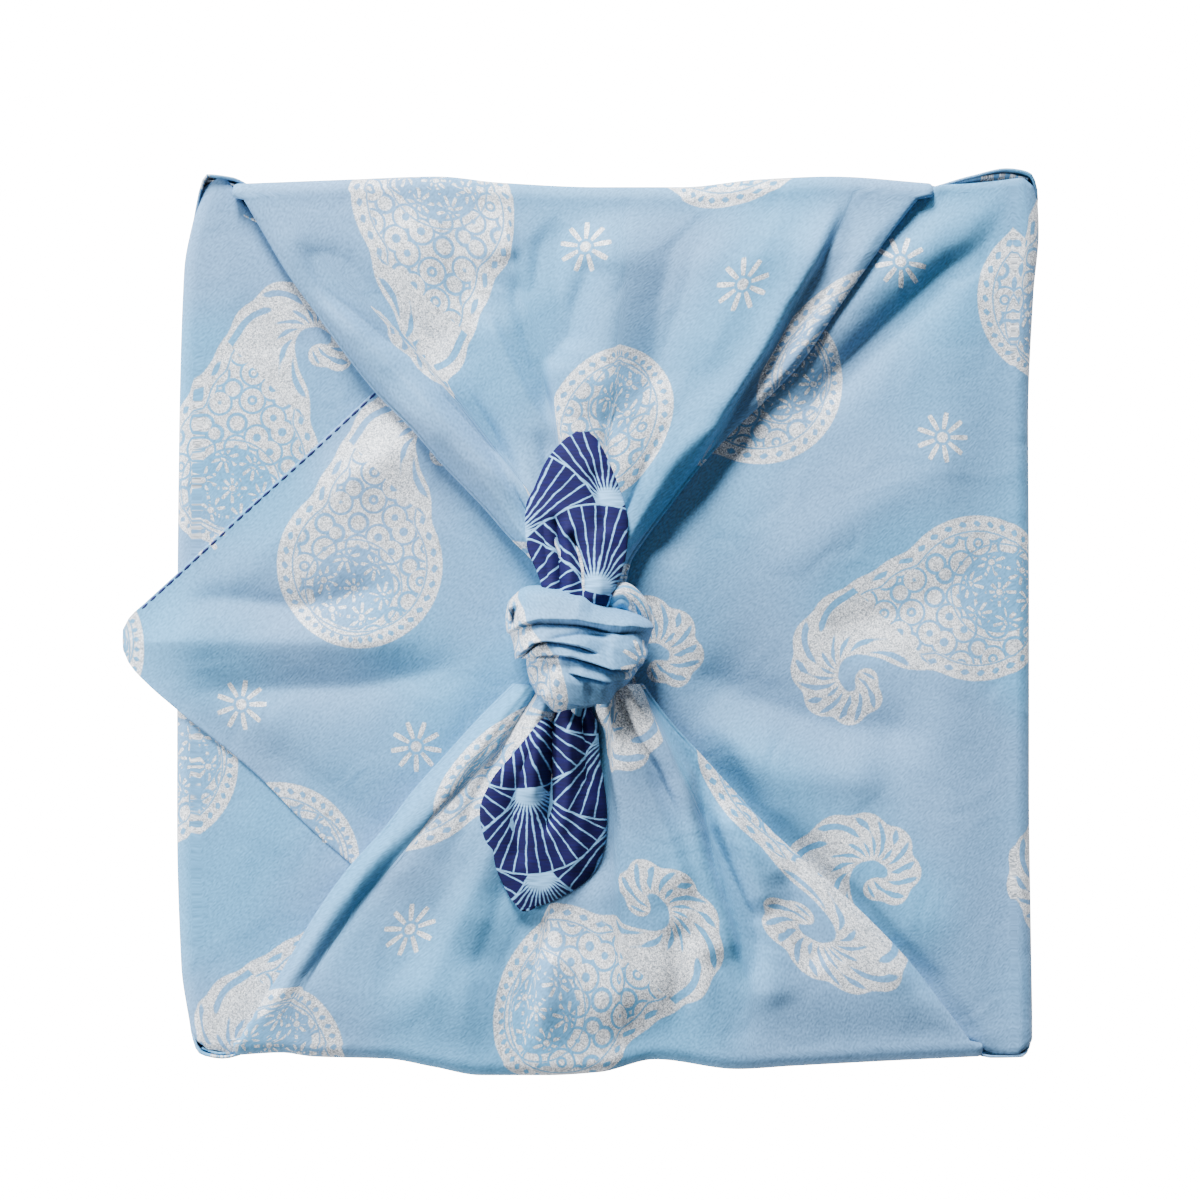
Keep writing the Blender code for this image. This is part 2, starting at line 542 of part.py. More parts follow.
def square_box():
    bm = bmesh.new()
    bmesh.ops.create_cube(bm, size=1.0)
    bmesh.ops.scale(bm, vec=(BOX_SIDE * MM, BOX_SIDE * MM, BOX_HEIGHT * MM), verts=bm.verts)
    upright = [e for e in bm.edges if abs(e.verts[0].co.z - e.verts[1].co.z) > BOX_HEIGHT * MM / 2]
    bmesh.ops.bevel(bm, geom=upright, offset=BOX_CORNER * MM, segments=6, profile=0.5,
                    affect="EDGES")
    level = [e for e in bm.edges if abs(e.verts[0].co.z - e.verts[1].co.z) < MM * 0.01]
    bmesh.ops.bevel(bm, geom=level, offset=BOX_EDGE * MM, segments=3, profile=0.5, affect="EDGES")
    bmesh.ops.translate(bm, vec=(0, 0, (BOX_LIFT + BOX_HEIGHT / 2) * MM), verts=bm.verts)
    mesh = bpy.data.meshes.new("box")
    bm.to_mesh(mesh)
    bm.free()
    obj = bpy.data.objects.new("box", mesh)
    bpy.context.scene.collection.objects.link(obj)
    return obj


# --- assembly -------------------------------------------------------------------------------------------

for old in list(bpy.data.objects):
    bpy.data.objects.remove(old)

cloth_pieces = [
    base_and_walls(),
    flap("left_flap", -1, UNDER_EDGES, UNDER_FLAP, under_height, LEFT_SIDE, 130.0,
         sections=6, across=7),
    flap("right_flap", 1, OVER_EDGES, OVER_FLAP, over_height, RIGHT_SIDE, TIP,
         sections=20, across=15),
    arm("far_arm", 1, FAR_ARM, FAR_WAVES, FAR_FOLDS, FAR_END),
    arm("near_arm", -1, NEAR_ARM, NEAR_WAVES, NEAR_FOLDS, NEAR_END),
]
cloth_pieces += [band(name, rows) for name, rows in KNOT_BANDS.items()]
cloth_pieces.append(free_end("upper_end", 1, UPPER_TAIL, UPPER_GROOVE))
cloth_pieces.append(free_end("lower_end", -1, LOWER_TAIL, LOWER_GROOVE))
wrap_cloth = fuse("wrap_cloth", cloth_pieces)
wrap_cloth.data.materials.clear()
wrap_cloth.data.materials.append(material("pale_blue_cotton", (0.37, 0.57, 0.74), 0.85))

box = square_box()
box.data.materials.append(material("grey_carton", (0.55, 0.52, 0.47), 0.9))

# The origin goes to the middle of the whole thing, on the table.
corners = np.array([v.co[:] for v in wrap_cloth.data.vertices])
centre = (corners.min(axis=0) + corners.max(axis=0)) / 2
for obj in (wrap_cloth, box):
    for vertex in obj.data.vertices:
        vertex.co.x -= centre[0]
        vertex.co.y -= centre[1]
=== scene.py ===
"""A furoshiki wrap: one printed, double-faced cotton square tied round a flat carton.

It is put together as it is tied: the carton stands on the cloth, the walls come up, the left
corner goes over the lid, the right corner over that, and the far and near corners are gathered
into arms that end in a square knot with two free ends. Lengths in the tables are millimetres
from the middle of the carton, x to the right, y away and z up from the table.
"""
import math

import bmesh
import bpy
import numpy as np
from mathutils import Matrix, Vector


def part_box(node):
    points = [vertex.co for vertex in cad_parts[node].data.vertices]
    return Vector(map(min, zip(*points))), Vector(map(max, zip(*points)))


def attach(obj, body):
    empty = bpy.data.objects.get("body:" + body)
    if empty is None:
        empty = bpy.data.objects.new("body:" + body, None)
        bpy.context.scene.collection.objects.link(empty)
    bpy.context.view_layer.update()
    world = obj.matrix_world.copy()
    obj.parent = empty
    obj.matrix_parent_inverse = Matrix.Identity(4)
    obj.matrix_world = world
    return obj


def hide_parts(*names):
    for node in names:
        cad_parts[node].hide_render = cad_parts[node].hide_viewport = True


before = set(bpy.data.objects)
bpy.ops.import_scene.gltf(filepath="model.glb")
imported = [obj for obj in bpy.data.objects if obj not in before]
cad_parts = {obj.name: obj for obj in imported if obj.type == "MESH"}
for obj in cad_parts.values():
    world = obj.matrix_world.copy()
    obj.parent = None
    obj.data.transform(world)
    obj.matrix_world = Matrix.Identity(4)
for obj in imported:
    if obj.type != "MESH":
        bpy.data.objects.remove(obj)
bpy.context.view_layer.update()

# --- Camera, light and floor ---------------------------------------------------------------------
# A white tabletop in a studio with a large soft window light at the far side, a weaker one at the
# left and pale walls all round, seen from straight above, so that the light rakes over the folds.

low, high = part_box("box")
MIDDLE = np.array([(low.x + high.x) / 2, (low.y + high.y) / 2, 0.0])
VIEW_HEIGHT = 1.1           # metres above the table
VIEW_WIDTH = 0.408          # metres that the camera takes in at the height of the lid
LID_HEIGHT = 0.046
SENSOR = 36.0

camera = bpy.data.objects.new("camera", bpy.data.cameras.new("camera"))
bpy.context.scene.collection.objects.link(camera)
camera.location = (MIDDLE[0] - 0.0017, MIDDLE[1] + 0.0065, VIEW_HEIGHT)
camera.data.sensor_width = SENSOR
camera.data.lens = SENSOR * (VIEW_HEIGHT - LID_HEIGHT) / VIEW_WIDTH
camera.data.clip_start = 0.01
bpy.context.scene.camera = camera


def linear(code, alpha=1.0):
    """An sRGB hex value as linear light."""
    parts = [int(code[i:i + 2], 16) / 255 for i in (1, 3, 5)]
    return (*(c / 12.92 if c <= 0.04045 else ((c + 0.055) / 1.055) ** 2.4 for c in parts), alpha)


def add(tree, kind, settings=(), links=()):
    """A node with its settings, and its inputs set or linked.

    links is ((input, value or socket), ...).
    """
    node = tree.nodes.new(kind)
    for name, value in dict(settings).items():
        setattr(node, name, value)
    for name, value in links:
        if isinstance(value, bpy.types.NodeSocket):
            tree.links.new(value, node.inputs[name])
        else:
            node.inputs[name].default_value = value
    return node


def new_material(name):
    """An empty node material and its shader, with the colour and bump left for the caller."""
    material = bpy.data.materials.new(name)
    material.use_nodes = True
    return material, material.node_tree, material.node_tree.nodes["Principled BSDF"]


world = bpy.data.worlds.new("pale_studio")
bpy.context.scene.world = world
world.use_nodes = True
world.node_tree.nodes["Background"].inputs["Color"].default_value = linear("#EEF2F7")
world.node_tree.nodes["Background"].inputs["Strength"].default_value = 0.22

# name, place in metres, aim in metres, width in metres, watts
LAMPS = (
    ("window_light", (-0.7, 3.15, 1.75), (0.0, 0.0, 0.03), 1.3, 540.0),
    ("side_light", (-2.4, -0.35, 1.15), (0.0, 0.0, 0.03), 0.8, 105.0),
)
for name, place, aim, width, watts in LAMPS:
    lamp = bpy.data.lights.new(name, "AREA")
    lamp.shape = "DISK"
    lamp.size = width
    lamp.energy = watts
    light = bpy.data.objects.new(name, lamp)
    light.location = place
    away = np.array(place) - np.array(aim)
    light.rotation_euler = (math.acos(away[2] / np.linalg.norm(away)), 0.0,
                            math.atan2(away[1], away[0]) + math.pi / 2)
    bpy.context.scene.collection.objects.link(light)

FLOOR_HALF = 3.0            # metres
FLOOR_SHOWN, FLOOR_THROWN = 16.0, 0.12  # its glow as the camera sees it, and as the cloth does
mesh = bpy.data.meshes.new("tabletop")
mesh.from_pydata([(-FLOOR_HALF, -FLOOR_HALF, 0), (FLOOR_HALF, -FLOOR_HALF, 0),
                  (FLOOR_HALF, FLOOR_HALF, 0), (-FLOOR_HALF, FLOOR_HALF, 0)], [], [(0, 1, 2, 3)])
tabletop = bpy.data.objects.new("tabletop", mesh)
bpy.context.scene.collection.objects.link(tabletop)
# Matt white laminate: an even, almost pure white face with only a faint dull shine.
white_laminate, tree, shader = new_material("white_laminate")
shader.inputs["Base Color"].default_value = linear("#FDFDFE")
shader.inputs["Roughness"].default_value = 0.7
# The tabletop is lit from below until it shows pure white, but it throws little of that light back.
shader.inputs["Emission Color"].default_value = linear("#FFFFFF")
seen = add(tree, "ShaderNodeLightPath")
glow = add(tree, "ShaderNodeMath", {"operation": "MULTIPLY_ADD"},
           ((0, seen.outputs["Is Camera Ray"]), (1, FLOOR_SHOWN), (2, FLOOR_THROWN)))
tree.links.new(glow.outputs[0], shader.inputs["Emission Strength"])
tabletop.data.materials.append(white_laminate)

# --- Carton --------------------------------------------------------------------------------------
# The gift box inside: plain grey board with a soft paper grain. Almost nothing of it shows, only
# its dark corner in the open ears of the cloth.

BOARD_FIBRES = 900.0        # in a metre, so they are 1.1 mm long
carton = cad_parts["box"]
# Uncoated grey board: fibres give a faint mottled colour and a dull, slightly rough face.
grey_board, tree, shader = new_material("uncoated_grey_board")
where = add(tree, "ShaderNodeTexCoord")
fibre = add(tree, "ShaderNodeTexNoise", {},
            (("Vector", where.outputs["Object"]), ("Scale", BOARD_FIBRES), ("Detail", 4.0)))
shade = add(tree, "ShaderNodeMix", {"data_type": "RGBA"},
            (("Factor", fibre.outputs["Fac"]), ("A", linear("#8E8A82")), ("B", linear("#A8A399"))))
tree.links.new(shade.outputs["Result"], shader.inputs["Base Color"])
shader.inputs["Roughness"].default_value = 0.9
bump = add(tree, "ShaderNodeBump", {}, (("Height", fibre.outputs["Fac"]), ("Distance", 0.0001),
                                        ("Strength", 0.4)))
tree.links.new(bump.outputs["Normal"], shader.inputs["Normal"])
if not carton.material_slots:
    carton.data.materials.append(grey_board)
carton.material_slots[0].material = grey_board

# --- Base and walls ------------------------------------------------------------------------------
# The middle of the cloth under the carton and the four walls that come up from it. The walls are
# not sewn: at each corner the cloth stands out in an open lip, the ear of the wrap.

MM = 0.001                  # metres
CLOTH = 1.0                 # thickness of the two sewn faces together


def smooth(t):
    """From 0 to 1, slow at both ends."""
    t = np.clip(t, 0.0, 1.0)
    return t * t * (3.0 - 2.0 * t)


def curve(rows, at, column=1):
    """Smooth value of a column of a table, read against its first column, which rises.

    It never runs past the table's own values.
    """
    table = np.array(rows, float)
    x, y = table[:, 0], table[:, column]
    steep = np.diff(y) / np.diff(x)
    before, after = steep[:-1], steep[1:]
    turning = before * after <= 0.0
    between = 2.0 * before * after / np.where(turning, 1.0, before + after)
    slope = np.concatenate([steep[:1], np.where(turning, 0.0, between), steep[-1:]])
    at = np.clip(at, x[0], x[-1])
    i = np.clip(np.searchsorted(x, at, side="right") - 1, 0, len(x) - 2)
    span = x[i + 1] - x[i]
    t = (at - x[i]) / span
    rise = t * t * (3.0 - 2.0 * t)
    start = t * (1.0 - t) ** 2
    end = t * t * (t - 1.0)
    return y[i] + (y[i + 1] - y[i]) * rise + span * (slope[i] * start + slope[i + 1] * end)


DRIFT_WAVES = 7
DRIFT_LENGTHS = (0.7, 1.6)  # shortest and longest of them, as shares of the wavelength asked for


def drift(x, y, seed, wavelength, height):
    """The slow unevenness of cloth that was pulled by hand: a few long waves that cross."""
    rng = np.random.default_rng(seed)
    total = np.zeros(np.shape(x))
    for _ in range(DRIFT_WAVES):
        angle, phase = rng.uniform(0, math.tau, 2)
        stretch = wavelength * rng.uniform(*DRIFT_LENGTHS)
        total += np.sin((x * math.cos(angle) + y * math.sin(angle)) * math.tau / stretch + phase)
    return total * height / DRIFT_WAVES ** 0.5


def cloth_mesh(name, points, flat, faces, under=()):
    """A mesh in metres with the cloth's own flat coordinates, in metres too, as its UV map.

    under holds the indices of the faces that show the navy reverse.
    """
    mesh = bpy.data.meshes.new(name)
    mesh.from_pydata([tuple(p) for p in np.asarray(points, float) * MM + MIDDLE], [], faces)
    layer = mesh.uv_layers.new(name="cloth")
    corners = np.zeros(len(mesh.loops), np.int32)
    mesh.loops.foreach_get("vertex_index", corners)
    layer.data.foreach_set("uv", (np.asarray(flat, float) * MM)[corners].astype(np.float32).ravel())
    sides = np.zeros(len(mesh.polygons), np.int32)
    sides[list(under)] = 1
    mesh.polygons.foreach_set("material_index", sides)
    mesh.polygons.foreach_set("use_smooth", np.ones(len(mesh.polygons), bool))
    mesh.update()
    obj = bpy.data.objects.new(name, mesh)
    bpy.context.scene.collection.objects.link(obj)
    bm = bmesh.new()
    bm.from_mesh(mesh)
    bmesh.ops.recalc_face_normals(bm, faces=bm.faces)
    if bm.calc_volume(signed=True) < 0:
        bmesh.ops.reverse_faces(bm, faces=bm.faces)
    bm.to_mesh(mesh)
    bm.free()
    return obj


def ring_skin(name, grid, flat, ends, end_flats):
    """A closed skin: rings of points, [ring, around, xyz], and a point that closes each end."""
    rings, around = grid.shape[:2]
    index = np.arange(rings * around).reshape(rings, around)
    ahead = np.roll(index, -1, axis=1)
    first, last = rings * around, rings * around + 1
    quads = np.stack([index[:-1], ahead[:-1], ahead[1:], index[1:]], axis=2).reshape(-1, 4)
    faces = quads.tolist()
    faces += [(first, j, i) for i, j in zip(index[0].tolist(), ahead[0].tolist())]
    faces += [(last, i, j) for i, j in zip(index[-1].tolist(), ahead[-1].tolist())]
    return cloth_mesh(name, np.concatenate([grid.reshape(-1, 3), ends]),
                      np.concatenate([flat.reshape(-1, 2), end_flats]), faces)


# A daisy: petals round a button, as a depth in millimetres, more than 0 inside it.
daisy_group = bpy.data.node_groups.new("daisy", "ShaderNodeTree")
for socket in ("x", "y", "petal length", "petals", "turn"):
    daisy_group.interface.new_socket(socket, in_out="INPUT", socket_type="NodeSocketFloat")
daisy_group.interface.new_socket("depth", in_out="OUTPUT", socket_type="NodeSocketFloat")
given = add(daisy_group, "NodeGroupInput")
wires = {socket: given.outputs[socket] for socket in ("x", "y", "petal length", "petals", "turn")}
# result, operation, then its inputs: earlier results by name, or numbers
steps = (
    ("angle", "ARCTAN2", "y", "x"),
    ("half petals", "MULTIPLY", "petals", 0.5),
    ("petal turn", "MULTIPLY_ADD", "angle", "half petals", "turn"),
    ("petal", "COSINE", "petal turn"),
    ("petal side", "ABSOLUTE", "petal"),
    ("petal fat", "MULTIPLY_ADD", "petal side", 2.3, -1.15),
    ("petal far", "MULTIPLY", "petal fat", "petal length"),
    ("x squared", "MULTIPLY", "x", "x"),
    ("squared", "MULTIPLY_ADD", "y", "y", "x squared"),
    ("away", "SQRT", "squared"),
    ("in petal", "SUBTRACT", "petal far", "away"),
    ("in length", "SUBTRACT", "petal length", "away"),
    ("root", "MULTIPLY_ADD", "petal length", -0.34, "away"),
    ("petal body", "MINIMUM", "in petal", "in length"),
    ("petals drawn", "MINIMUM", "petal body", "root"),
    ("button size", "MULTIPLY", "petal length", 0.2),
    ("button", "SUBTRACT", "button size", "away"),
    ("depth", "MAXIMUM", "petals drawn", "button"))
for result, operation, *inputs in steps:
    wires[result] = add(daisy_group, "ShaderNodeMath", {"operation": operation}, [
        (i, wires.get(value, value)) for i, value in enumerate(inputs)]).outputs[0]
add(daisy_group, "NodeGroupOutput", {}, (("depth", wires["depth"]),))

# Mercerised cotton sateen, yarn-dyed pale blue and screen-printed in silver glitter ink. The
# threads run at 45 degrees to the carton, because the cloth lies cornerwise, and they give soft
# diagonal streaks; the dye is slightly uneven, from sky blue to lavender. The ink lies on top of
# the threads in a thin film of grey grains, and its glints are painted into its colour as grains
# of pure white. The print is a half-drop of curled paisley drops, each with a bed of daisies, a
# lace of rosettes and a striped tip.
PITCH_ALONG, PITCH_ACROSS = 0.116, 0.104    # metres from one drop to the next
# The drop and its curled tip are one shape, made of discs that melt into each other.
# x, y, radius, in millimetres from the middle of the repeat
DROP = ((12, -10, 28.0), (-5, 1, 20.0), (-16, 10, 14.0), (-26, 16, 11.0), (-36, 17, 9.4),
        (-44, 12, 8.0), (-48, 3, 6.8), (-45, -6, 5.6), (-38, -8, 4.6), (-34, -3, 3.8))
MELT = 4.0                  # the discs melt together over this distance, mm
BED = (19.0, -14.0, 15.5)   # the round bed of daisies in the drop: x, y, radius
DAISY_PITCH = 10.5          # mm between daisies in the bed
DAISY_ROW = DAISY_PITCH * 0.87
DAISY_PETAL, SPRIG_PETAL = 4.9, 8.5     # length of a petal, mm
BORDER = 5.6                # mm of solid border round the drop
BEADS, BEADS_IN = 34.0, 2.6             # round beads left out of it, and how far in they lie, mm
BORDER_LINE = 5.2           # and a bare line this far in
BARE_LINE = 0.35            # half the width of a bare line, mm
BED_RING, BED_LINE = 1.6, 0.9           # the solid ring in the bed's rim, and its bare line, mm
ROSETTE = 8.0               # mm from one rosette of the lace to the next
ROSETTE_RINGS = 17.0        # turn of the rings' wave over that way: a ring every 3 mm
NECK = -15.0                # left of this the drop is solid, with wedges cut in
CURL = (-38.0, 4.0)         # the tip curls round this point
WEDGES, WEDGES_IN = 15.0, 3.4           # wedges round that point, widest this far in, mm
SPRIG = (42.0, 37.0)        # a larger daisy between the drops
# The glitter and the threads are finer than this, and are drawn as coarse as they need to show.
GRAIN = 2900.0              # grains of glitter in a metre: 0.35 mm
STREAKS = (800.0, 1700.0)   # in a metre, along and across a thread: 1.3 mm by 0.6 mm
DYE_PATCHES = 13.0          # in a metre: the dye changes over 8 cm
CRUMPLES = 55.0             # in a metre: 2 cm each

printed_cotton, tree, shader = new_material("printed_cotton_sateen")
cloth_map = add(tree, "ShaderNodeUVMap", {"uv_map": "cloth"})
on_thread = add(tree, "ShaderNodeMapping", {}, (("Vector", cloth_map.outputs["UV"]),
                                               ("Location", (0.021, 0.047, 0.0)),
                                               ("Rotation", (0.0, 0.0, math.radians(45)))))
split = add(tree, "ShaderNodeSeparateXYZ", {}, (("Vector", on_thread.outputs["Vector"]),))
wires = {"u": split.outputs["X"], "v": split.outputs["Y"]}
steps = (
    ("column place", "DIVIDE", "u", PITCH_ALONG),
    ("column", "FLOOR", "column place"),
    ("column share", "FRACT", "column place"),
    ("half column", "MULTIPLY", "column", 0.5),
    ("odd", "FRACT", "half column"),
    ("drop place", "MULTIPLY_ADD", "v", 1 / PITCH_ACROSS, "odd"),
    ("drop share", "FRACT", "drop place"),
    ("mirror", "MULTIPLY_ADD", "odd", -4.0, 1.0),
    ("x centred", "MULTIPLY_ADD", "column share", PITCH_ALONG / MM, -PITCH_ALONG / MM / 2),
    ("x", "MULTIPLY", "x centred", "mirror"),
    ("y", "MULTIPLY_ADD", "drop share", PITCH_ACROSS / MM, -PITCH_ACROSS / MM / 2),
    ("bed x", "SUBTRACT", "x", BED[0]),
    ("bed y", "SUBTRACT", "y", BED[1]),
    ("bed x squared", "MULTIPLY", "bed x", "bed x"),
    ("bed squared", "MULTIPLY_ADD", "bed y", "bed y", "bed x squared"),
    ("from bed", "SQRT", "bed squared"),
    # daisies in rows, every second row moved half a step
    ("row place", "DIVIDE", "bed y", DAISY_ROW),
    ("row", "ROUND", "row place"),
    ("row off", "SUBTRACT", "row place", "row"),
    ("daisy y", "MULTIPLY", "row off", DAISY_ROW),
    ("row half", "MULTIPLY", "row", 0.5),
    ("row shift", "FRACT", "row half"),
    ("along place", "MULTIPLY_ADD", "bed x", 1 / DAISY_PITCH, "row shift"),
    ("along", "ROUND", "along place"),
    ("along off", "SUBTRACT", "along place", "along"),
    ("daisy x", "MULTIPLY", "along off", DAISY_PITCH),
    ("daisy turn", "MULTIPLY_ADD", "along", 0.7, "row"),
    ("sprig x", "SUBTRACT", "x", SPRIG[0]),
    ("sprig y", "SUBTRACT", "y", SPRIG[1]))
for result, operation, *inputs in steps:
    wires[result] = add(tree, "ShaderNodeMath", {"operation": operation}, [
        (i, wires.get(value, value)) for i, value in enumerate(inputs)]).outputs[0]
place = add(tree, "ShaderNodeCombineXYZ", {}, (("X", wires["x"]), ("Y", wires["y"])))
for i, (x, y, radius) in enumerate(DROP):
    reach = add(tree, "ShaderNodeVectorMath", {"operation": "DISTANCE"},
                ((0, place.outputs["Vector"]), (1, (x, y, 0.0))))
    wires["reach"] = reach.outputs["Value"]
    steps = (("disc", "SUBTRACT", radius, "reach"),
             ("inside", "SMOOTH_MAX", "disc", "inside" if i else -200.0, MELT))
    for result, operation, *inputs in steps:
        wires[result] = add(tree, "ShaderNodeMath", {"operation": operation}, [
            (i, wires.get(value, value)) for i, value in enumerate(inputs)]).outputs[0]
rosettes = add(tree, "ShaderNodeTexVoronoi", {"feature": "F1"},
               (("Vector", place.outputs["Vector"]), ("Scale", 1 / ROSETTE), ("Randomness", 0.45)))
wires["rosette"] = rosettes.outputs["Distance"]
for name, links in (
        ("bed daisy", (("x", "daisy x"), ("y", "daisy y"), ("petal length", DAISY_PETAL),
                       ("petals", 8.0), ("turn", "daisy turn"))),
        ("sprig daisy", (("x", "sprig x"), ("y", "sprig y"), ("petal length", SPRIG_PETAL),
                         ("petals", 9.0), ("turn", 0.4)))):
    wires[name] = add(tree, "ShaderNodeGroup", {"node_tree": daisy_group}, [
        (socket, wires.get(value, value)) for socket, value in links]).outputs["depth"]
steps = (
    # the border of the drop: a solid rim with a row of round beads left out of it
    ("around", "ARCTAN2", "bed y", "bed x"),
    ("bead turn", "MULTIPLY", "around", BEADS),
    ("bead wave", "COSINE", "bead turn"),
    ("bead off", "SUBTRACT", "inside", BEADS_IN),
    ("bead away", "ABSOLUTE", "bead off"),
    ("bead fat", "MULTIPLY_ADD", "bead wave", 0.9, 0.25),
    ("bead", "SUBTRACT", "bead fat", "bead away"),
    ("not bead", "MULTIPLY", "bead", -1.0),
    ("line off", "SUBTRACT", "inside", BORDER_LINE),
    ("line away", "ABSOLUTE", "line off"),
    ("not line", "SUBTRACT", "line away", BARE_LINE),
    # the lace of rosettes: rings round scattered middles
    ("ring turn", "MULTIPLY", "rosette", ROSETTE_RINGS),
    ("ring wave", "COSINE", "ring turn"),
    ("rings", "MULTIPLY_ADD", "ring wave", 1.0, 0.55),
    # the bed: daisies on bare cloth, with a bare line and a solid ring round it
    ("bed edge", "SUBTRACT", "from bed", BED[2]),
    ("bed ring", "SUBTRACT", "from bed", BED[2] - BED_RING),
    ("daisy far", "SUBTRACT", BED[2] - BED_RING - 1.0, "from bed"),
    ("daisies", "MINIMUM", "bed daisy", "daisy far"),
    ("bed", "MAXIMUM", "daisies", "bed ring"),
    ("bed line off", "SUBTRACT", "bed edge", BED_LINE),
    ("bed line away", "ABSOLUTE", "bed line off"),
    ("not bed line", "SUBTRACT", "bed line away", BARE_LINE),
    ("rim depth", "SUBTRACT", BORDER, "inside"),
    ("rim", "MINIMUM", "not bead", "not line"),
    ("lace", "MAXIMUM", "rings", "rim depth"),
    ("lace cut", "MINIMUM", "lace", "rim"),
    ("lace bed", "MINIMUM", "lace cut", "bed"),
    ("body", "MINIMUM", "lace bed", "not bed line"),
    # the neck and the curled tip are solid, with wedges cut in from the outer side
    ("curl x", "SUBTRACT", "x", CURL[0]),
    ("curl y", "SUBTRACT", "y", CURL[1]),
    ("curl x squared", "MULTIPLY", "curl x", "curl x"),
    ("curl squared", "MULTIPLY_ADD", "curl y", "curl y", "curl x squared"),
    ("from curl", "SQRT", "curl squared"),
    ("curl angle", "ARCTAN2", "curl y", "curl x"),
    ("wedge turn", "MULTIPLY_ADD", "from curl", 0.05, "curl angle"),
    ("wedge spin", "MULTIPLY", "wedge turn", WEDGES),
    ("wedge wave", "COSINE", "wedge spin"),
    ("wedge off", "SUBTRACT", "inside", WEDGES_IN),
    ("wedge away", "ABSOLUTE", "wedge off"),
    ("wedge taper", "MULTIPLY_ADD", "wedge away", -0.42, 0.1),
    ("wedge", "ADD", "wedge wave", "wedge taper"),
    ("not wedge", "MULTIPLY", "wedge", -1.3),
    ("past neck", "SUBTRACT", "x", NECK),
    ("tip", "MAXIMUM", "not wedge", "past neck"),
    ("before neck", "MULTIPLY", "past neck", -1.0),
    ("body or tip", "MAXIMUM", "body", "before neck"),
    ("figure", "MINIMUM", "body or tip", "tip"),
    ("drop ink", "MINIMUM", "figure", "inside"),
    ("between drops", "MULTIPLY", "inside", -1.0),
    ("sprigs", "MINIMUM", "sprig daisy", "between drops"),
    ("ink", "MAXIMUM", "drop ink", "sprigs"),
    ("ink edge", "MULTIPLY_ADD", "ink", 2.6, 0.85))
for result, operation, *inputs in steps:
    wires[result] = add(tree, "ShaderNodeMath", {"operation": operation}, [
        (i, wires.get(value, value)) for i, value in enumerate(inputs)]).outputs[0]

# grain of the ink, with pinholes near its edges where it didn't cover the threads
grain = add(tree, "ShaderNodeTexVoronoi", {"feature": "F1"},
            (("Vector", on_thread.outputs["Vector"]), ("Scale", GRAIN)))
grain_value = add(tree, "ShaderNodeSeparateColor", {}, (("Color", grain.outputs["Color"]),))
cover = add(tree, "ShaderNodeMath", {"operation": "MULTIPLY_ADD", "use_clamp": True},
            ((0, grain_value.outputs["Green"]), (1, -0.35), (2, wires["ink edge"])))
# the ink's colour: grey grains that differ in tone, with the brightest painted pure white as glints
ink_grain_and_painted_glint = add(tree, "ShaderNodeValToRGB", {}, (("Fac", grain_value.outputs["Red"]),))
for stop, (position, code) in enumerate(((0.0, "#7B848E"), (0.42, "#B7BEC6"), (0.8, "#DDE2E8"),
                                         (1.0, "#FFFFFF"))):
    spot = ink_grain_and_painted_glint.color_ramp.elements[stop] if stop < 2 else ink_grain_and_painted_glint.color_ramp.elements.new(position)
    spot.position = position
    spot.color = linear(code)


def woven(tree, place, lean, streaks, seeds, shades):
    """Threads as long streaks both ways: their height, and how they darken and lighten the dye."""
    threads = []
    for turn, seed in zip((0, 90), seeds):
        along = add(tree, "ShaderNodeMapping", {},
                    (("Vector", place), ("Rotation", (0.0, 0.0, math.radians(lean + turn))),
                     ("Scale", (*streaks, 1.0)), ("Location", (seed, seed, 0.0))))
        streak = add(tree, "ShaderNodeTexNoise", {}, (("Vector", along.outputs["Vector"]),
                                                     ("Scale", 1.0), ("Detail", 0.0)))
        threads.append(streak.outputs["Fac"])
    weave = add(tree, "ShaderNodeMath", {"operation": "ADD"}, enumerate(threads)).outputs[0]
    shade = add(tree, "ShaderNodeMapRange", {},
                (("Value", weave), ("From Min", 0.6), ("From Max", 1.4), ("To Min", shades[0]),
                 ("To Max", shades[1])))
    return weave, shade.outputs["Result"]


weave, thread_shade = woven(tree, on_thread.outputs["Vector"], 0, STREAKS, (3.1, 8.7), (0.76, 1.18))
# the slow change of the dye
dye = add(tree, "ShaderNodeTexNoise", {},
          (("Vector", cloth_map.outputs["UV"]), ("Scale", DYE_PATCHES), ("Detail", 1.0)))
dye_range = add(tree, "ShaderNodeMapRange", {"interpolation_type": "SMOOTHSTEP"},
                (("Value", dye.outputs["Fac"]), ("From Min", 0.36), ("From Max", 0.66)))
ground = add(tree, "ShaderNodeMix", {"data_type": "RGBA"},
             (("Factor", dye_range.outputs["Result"]), ("A", linear("#5194C0")),
              ("B", linear("#6692BC"))))
thread_colour = add(tree, "ShaderNodeMix", {"data_type": "RGBA", "blend_type": "MULTIPLY"},
                    (("Factor", 1.0), ("A", ground.outputs["Result"]), ("B", thread_shade)))
colour = add(tree, "ShaderNodeMix", {"data_type": "RGBA"},
             (("Factor", cover.outputs[0]), ("A", thread_colour.outputs["Result"]),
              ("B", ink_grain_and_painted_glint.outputs["Color"])))
tree.links.new(colour.outputs["Result"], shader.inputs["Base Color"])
metal = add(tree, "ShaderNodeMath", {"operation": "MULTIPLY"}, ((0, cover.outputs[0]), (1, 0.12)))
tree.links.new(metal.outputs[0], shader.inputs["Metallic"])
rough = add(tree, "ShaderNodeMapRange", {}, (("Value", cover.outputs[0]), ("To Min", 0.72),
                                            ("To Max", 0.58)))
tree.links.new(rough.outputs["Result"], shader.inputs["Roughness"])
shader.inputs["Sheen Weight"].default_value = 0.05
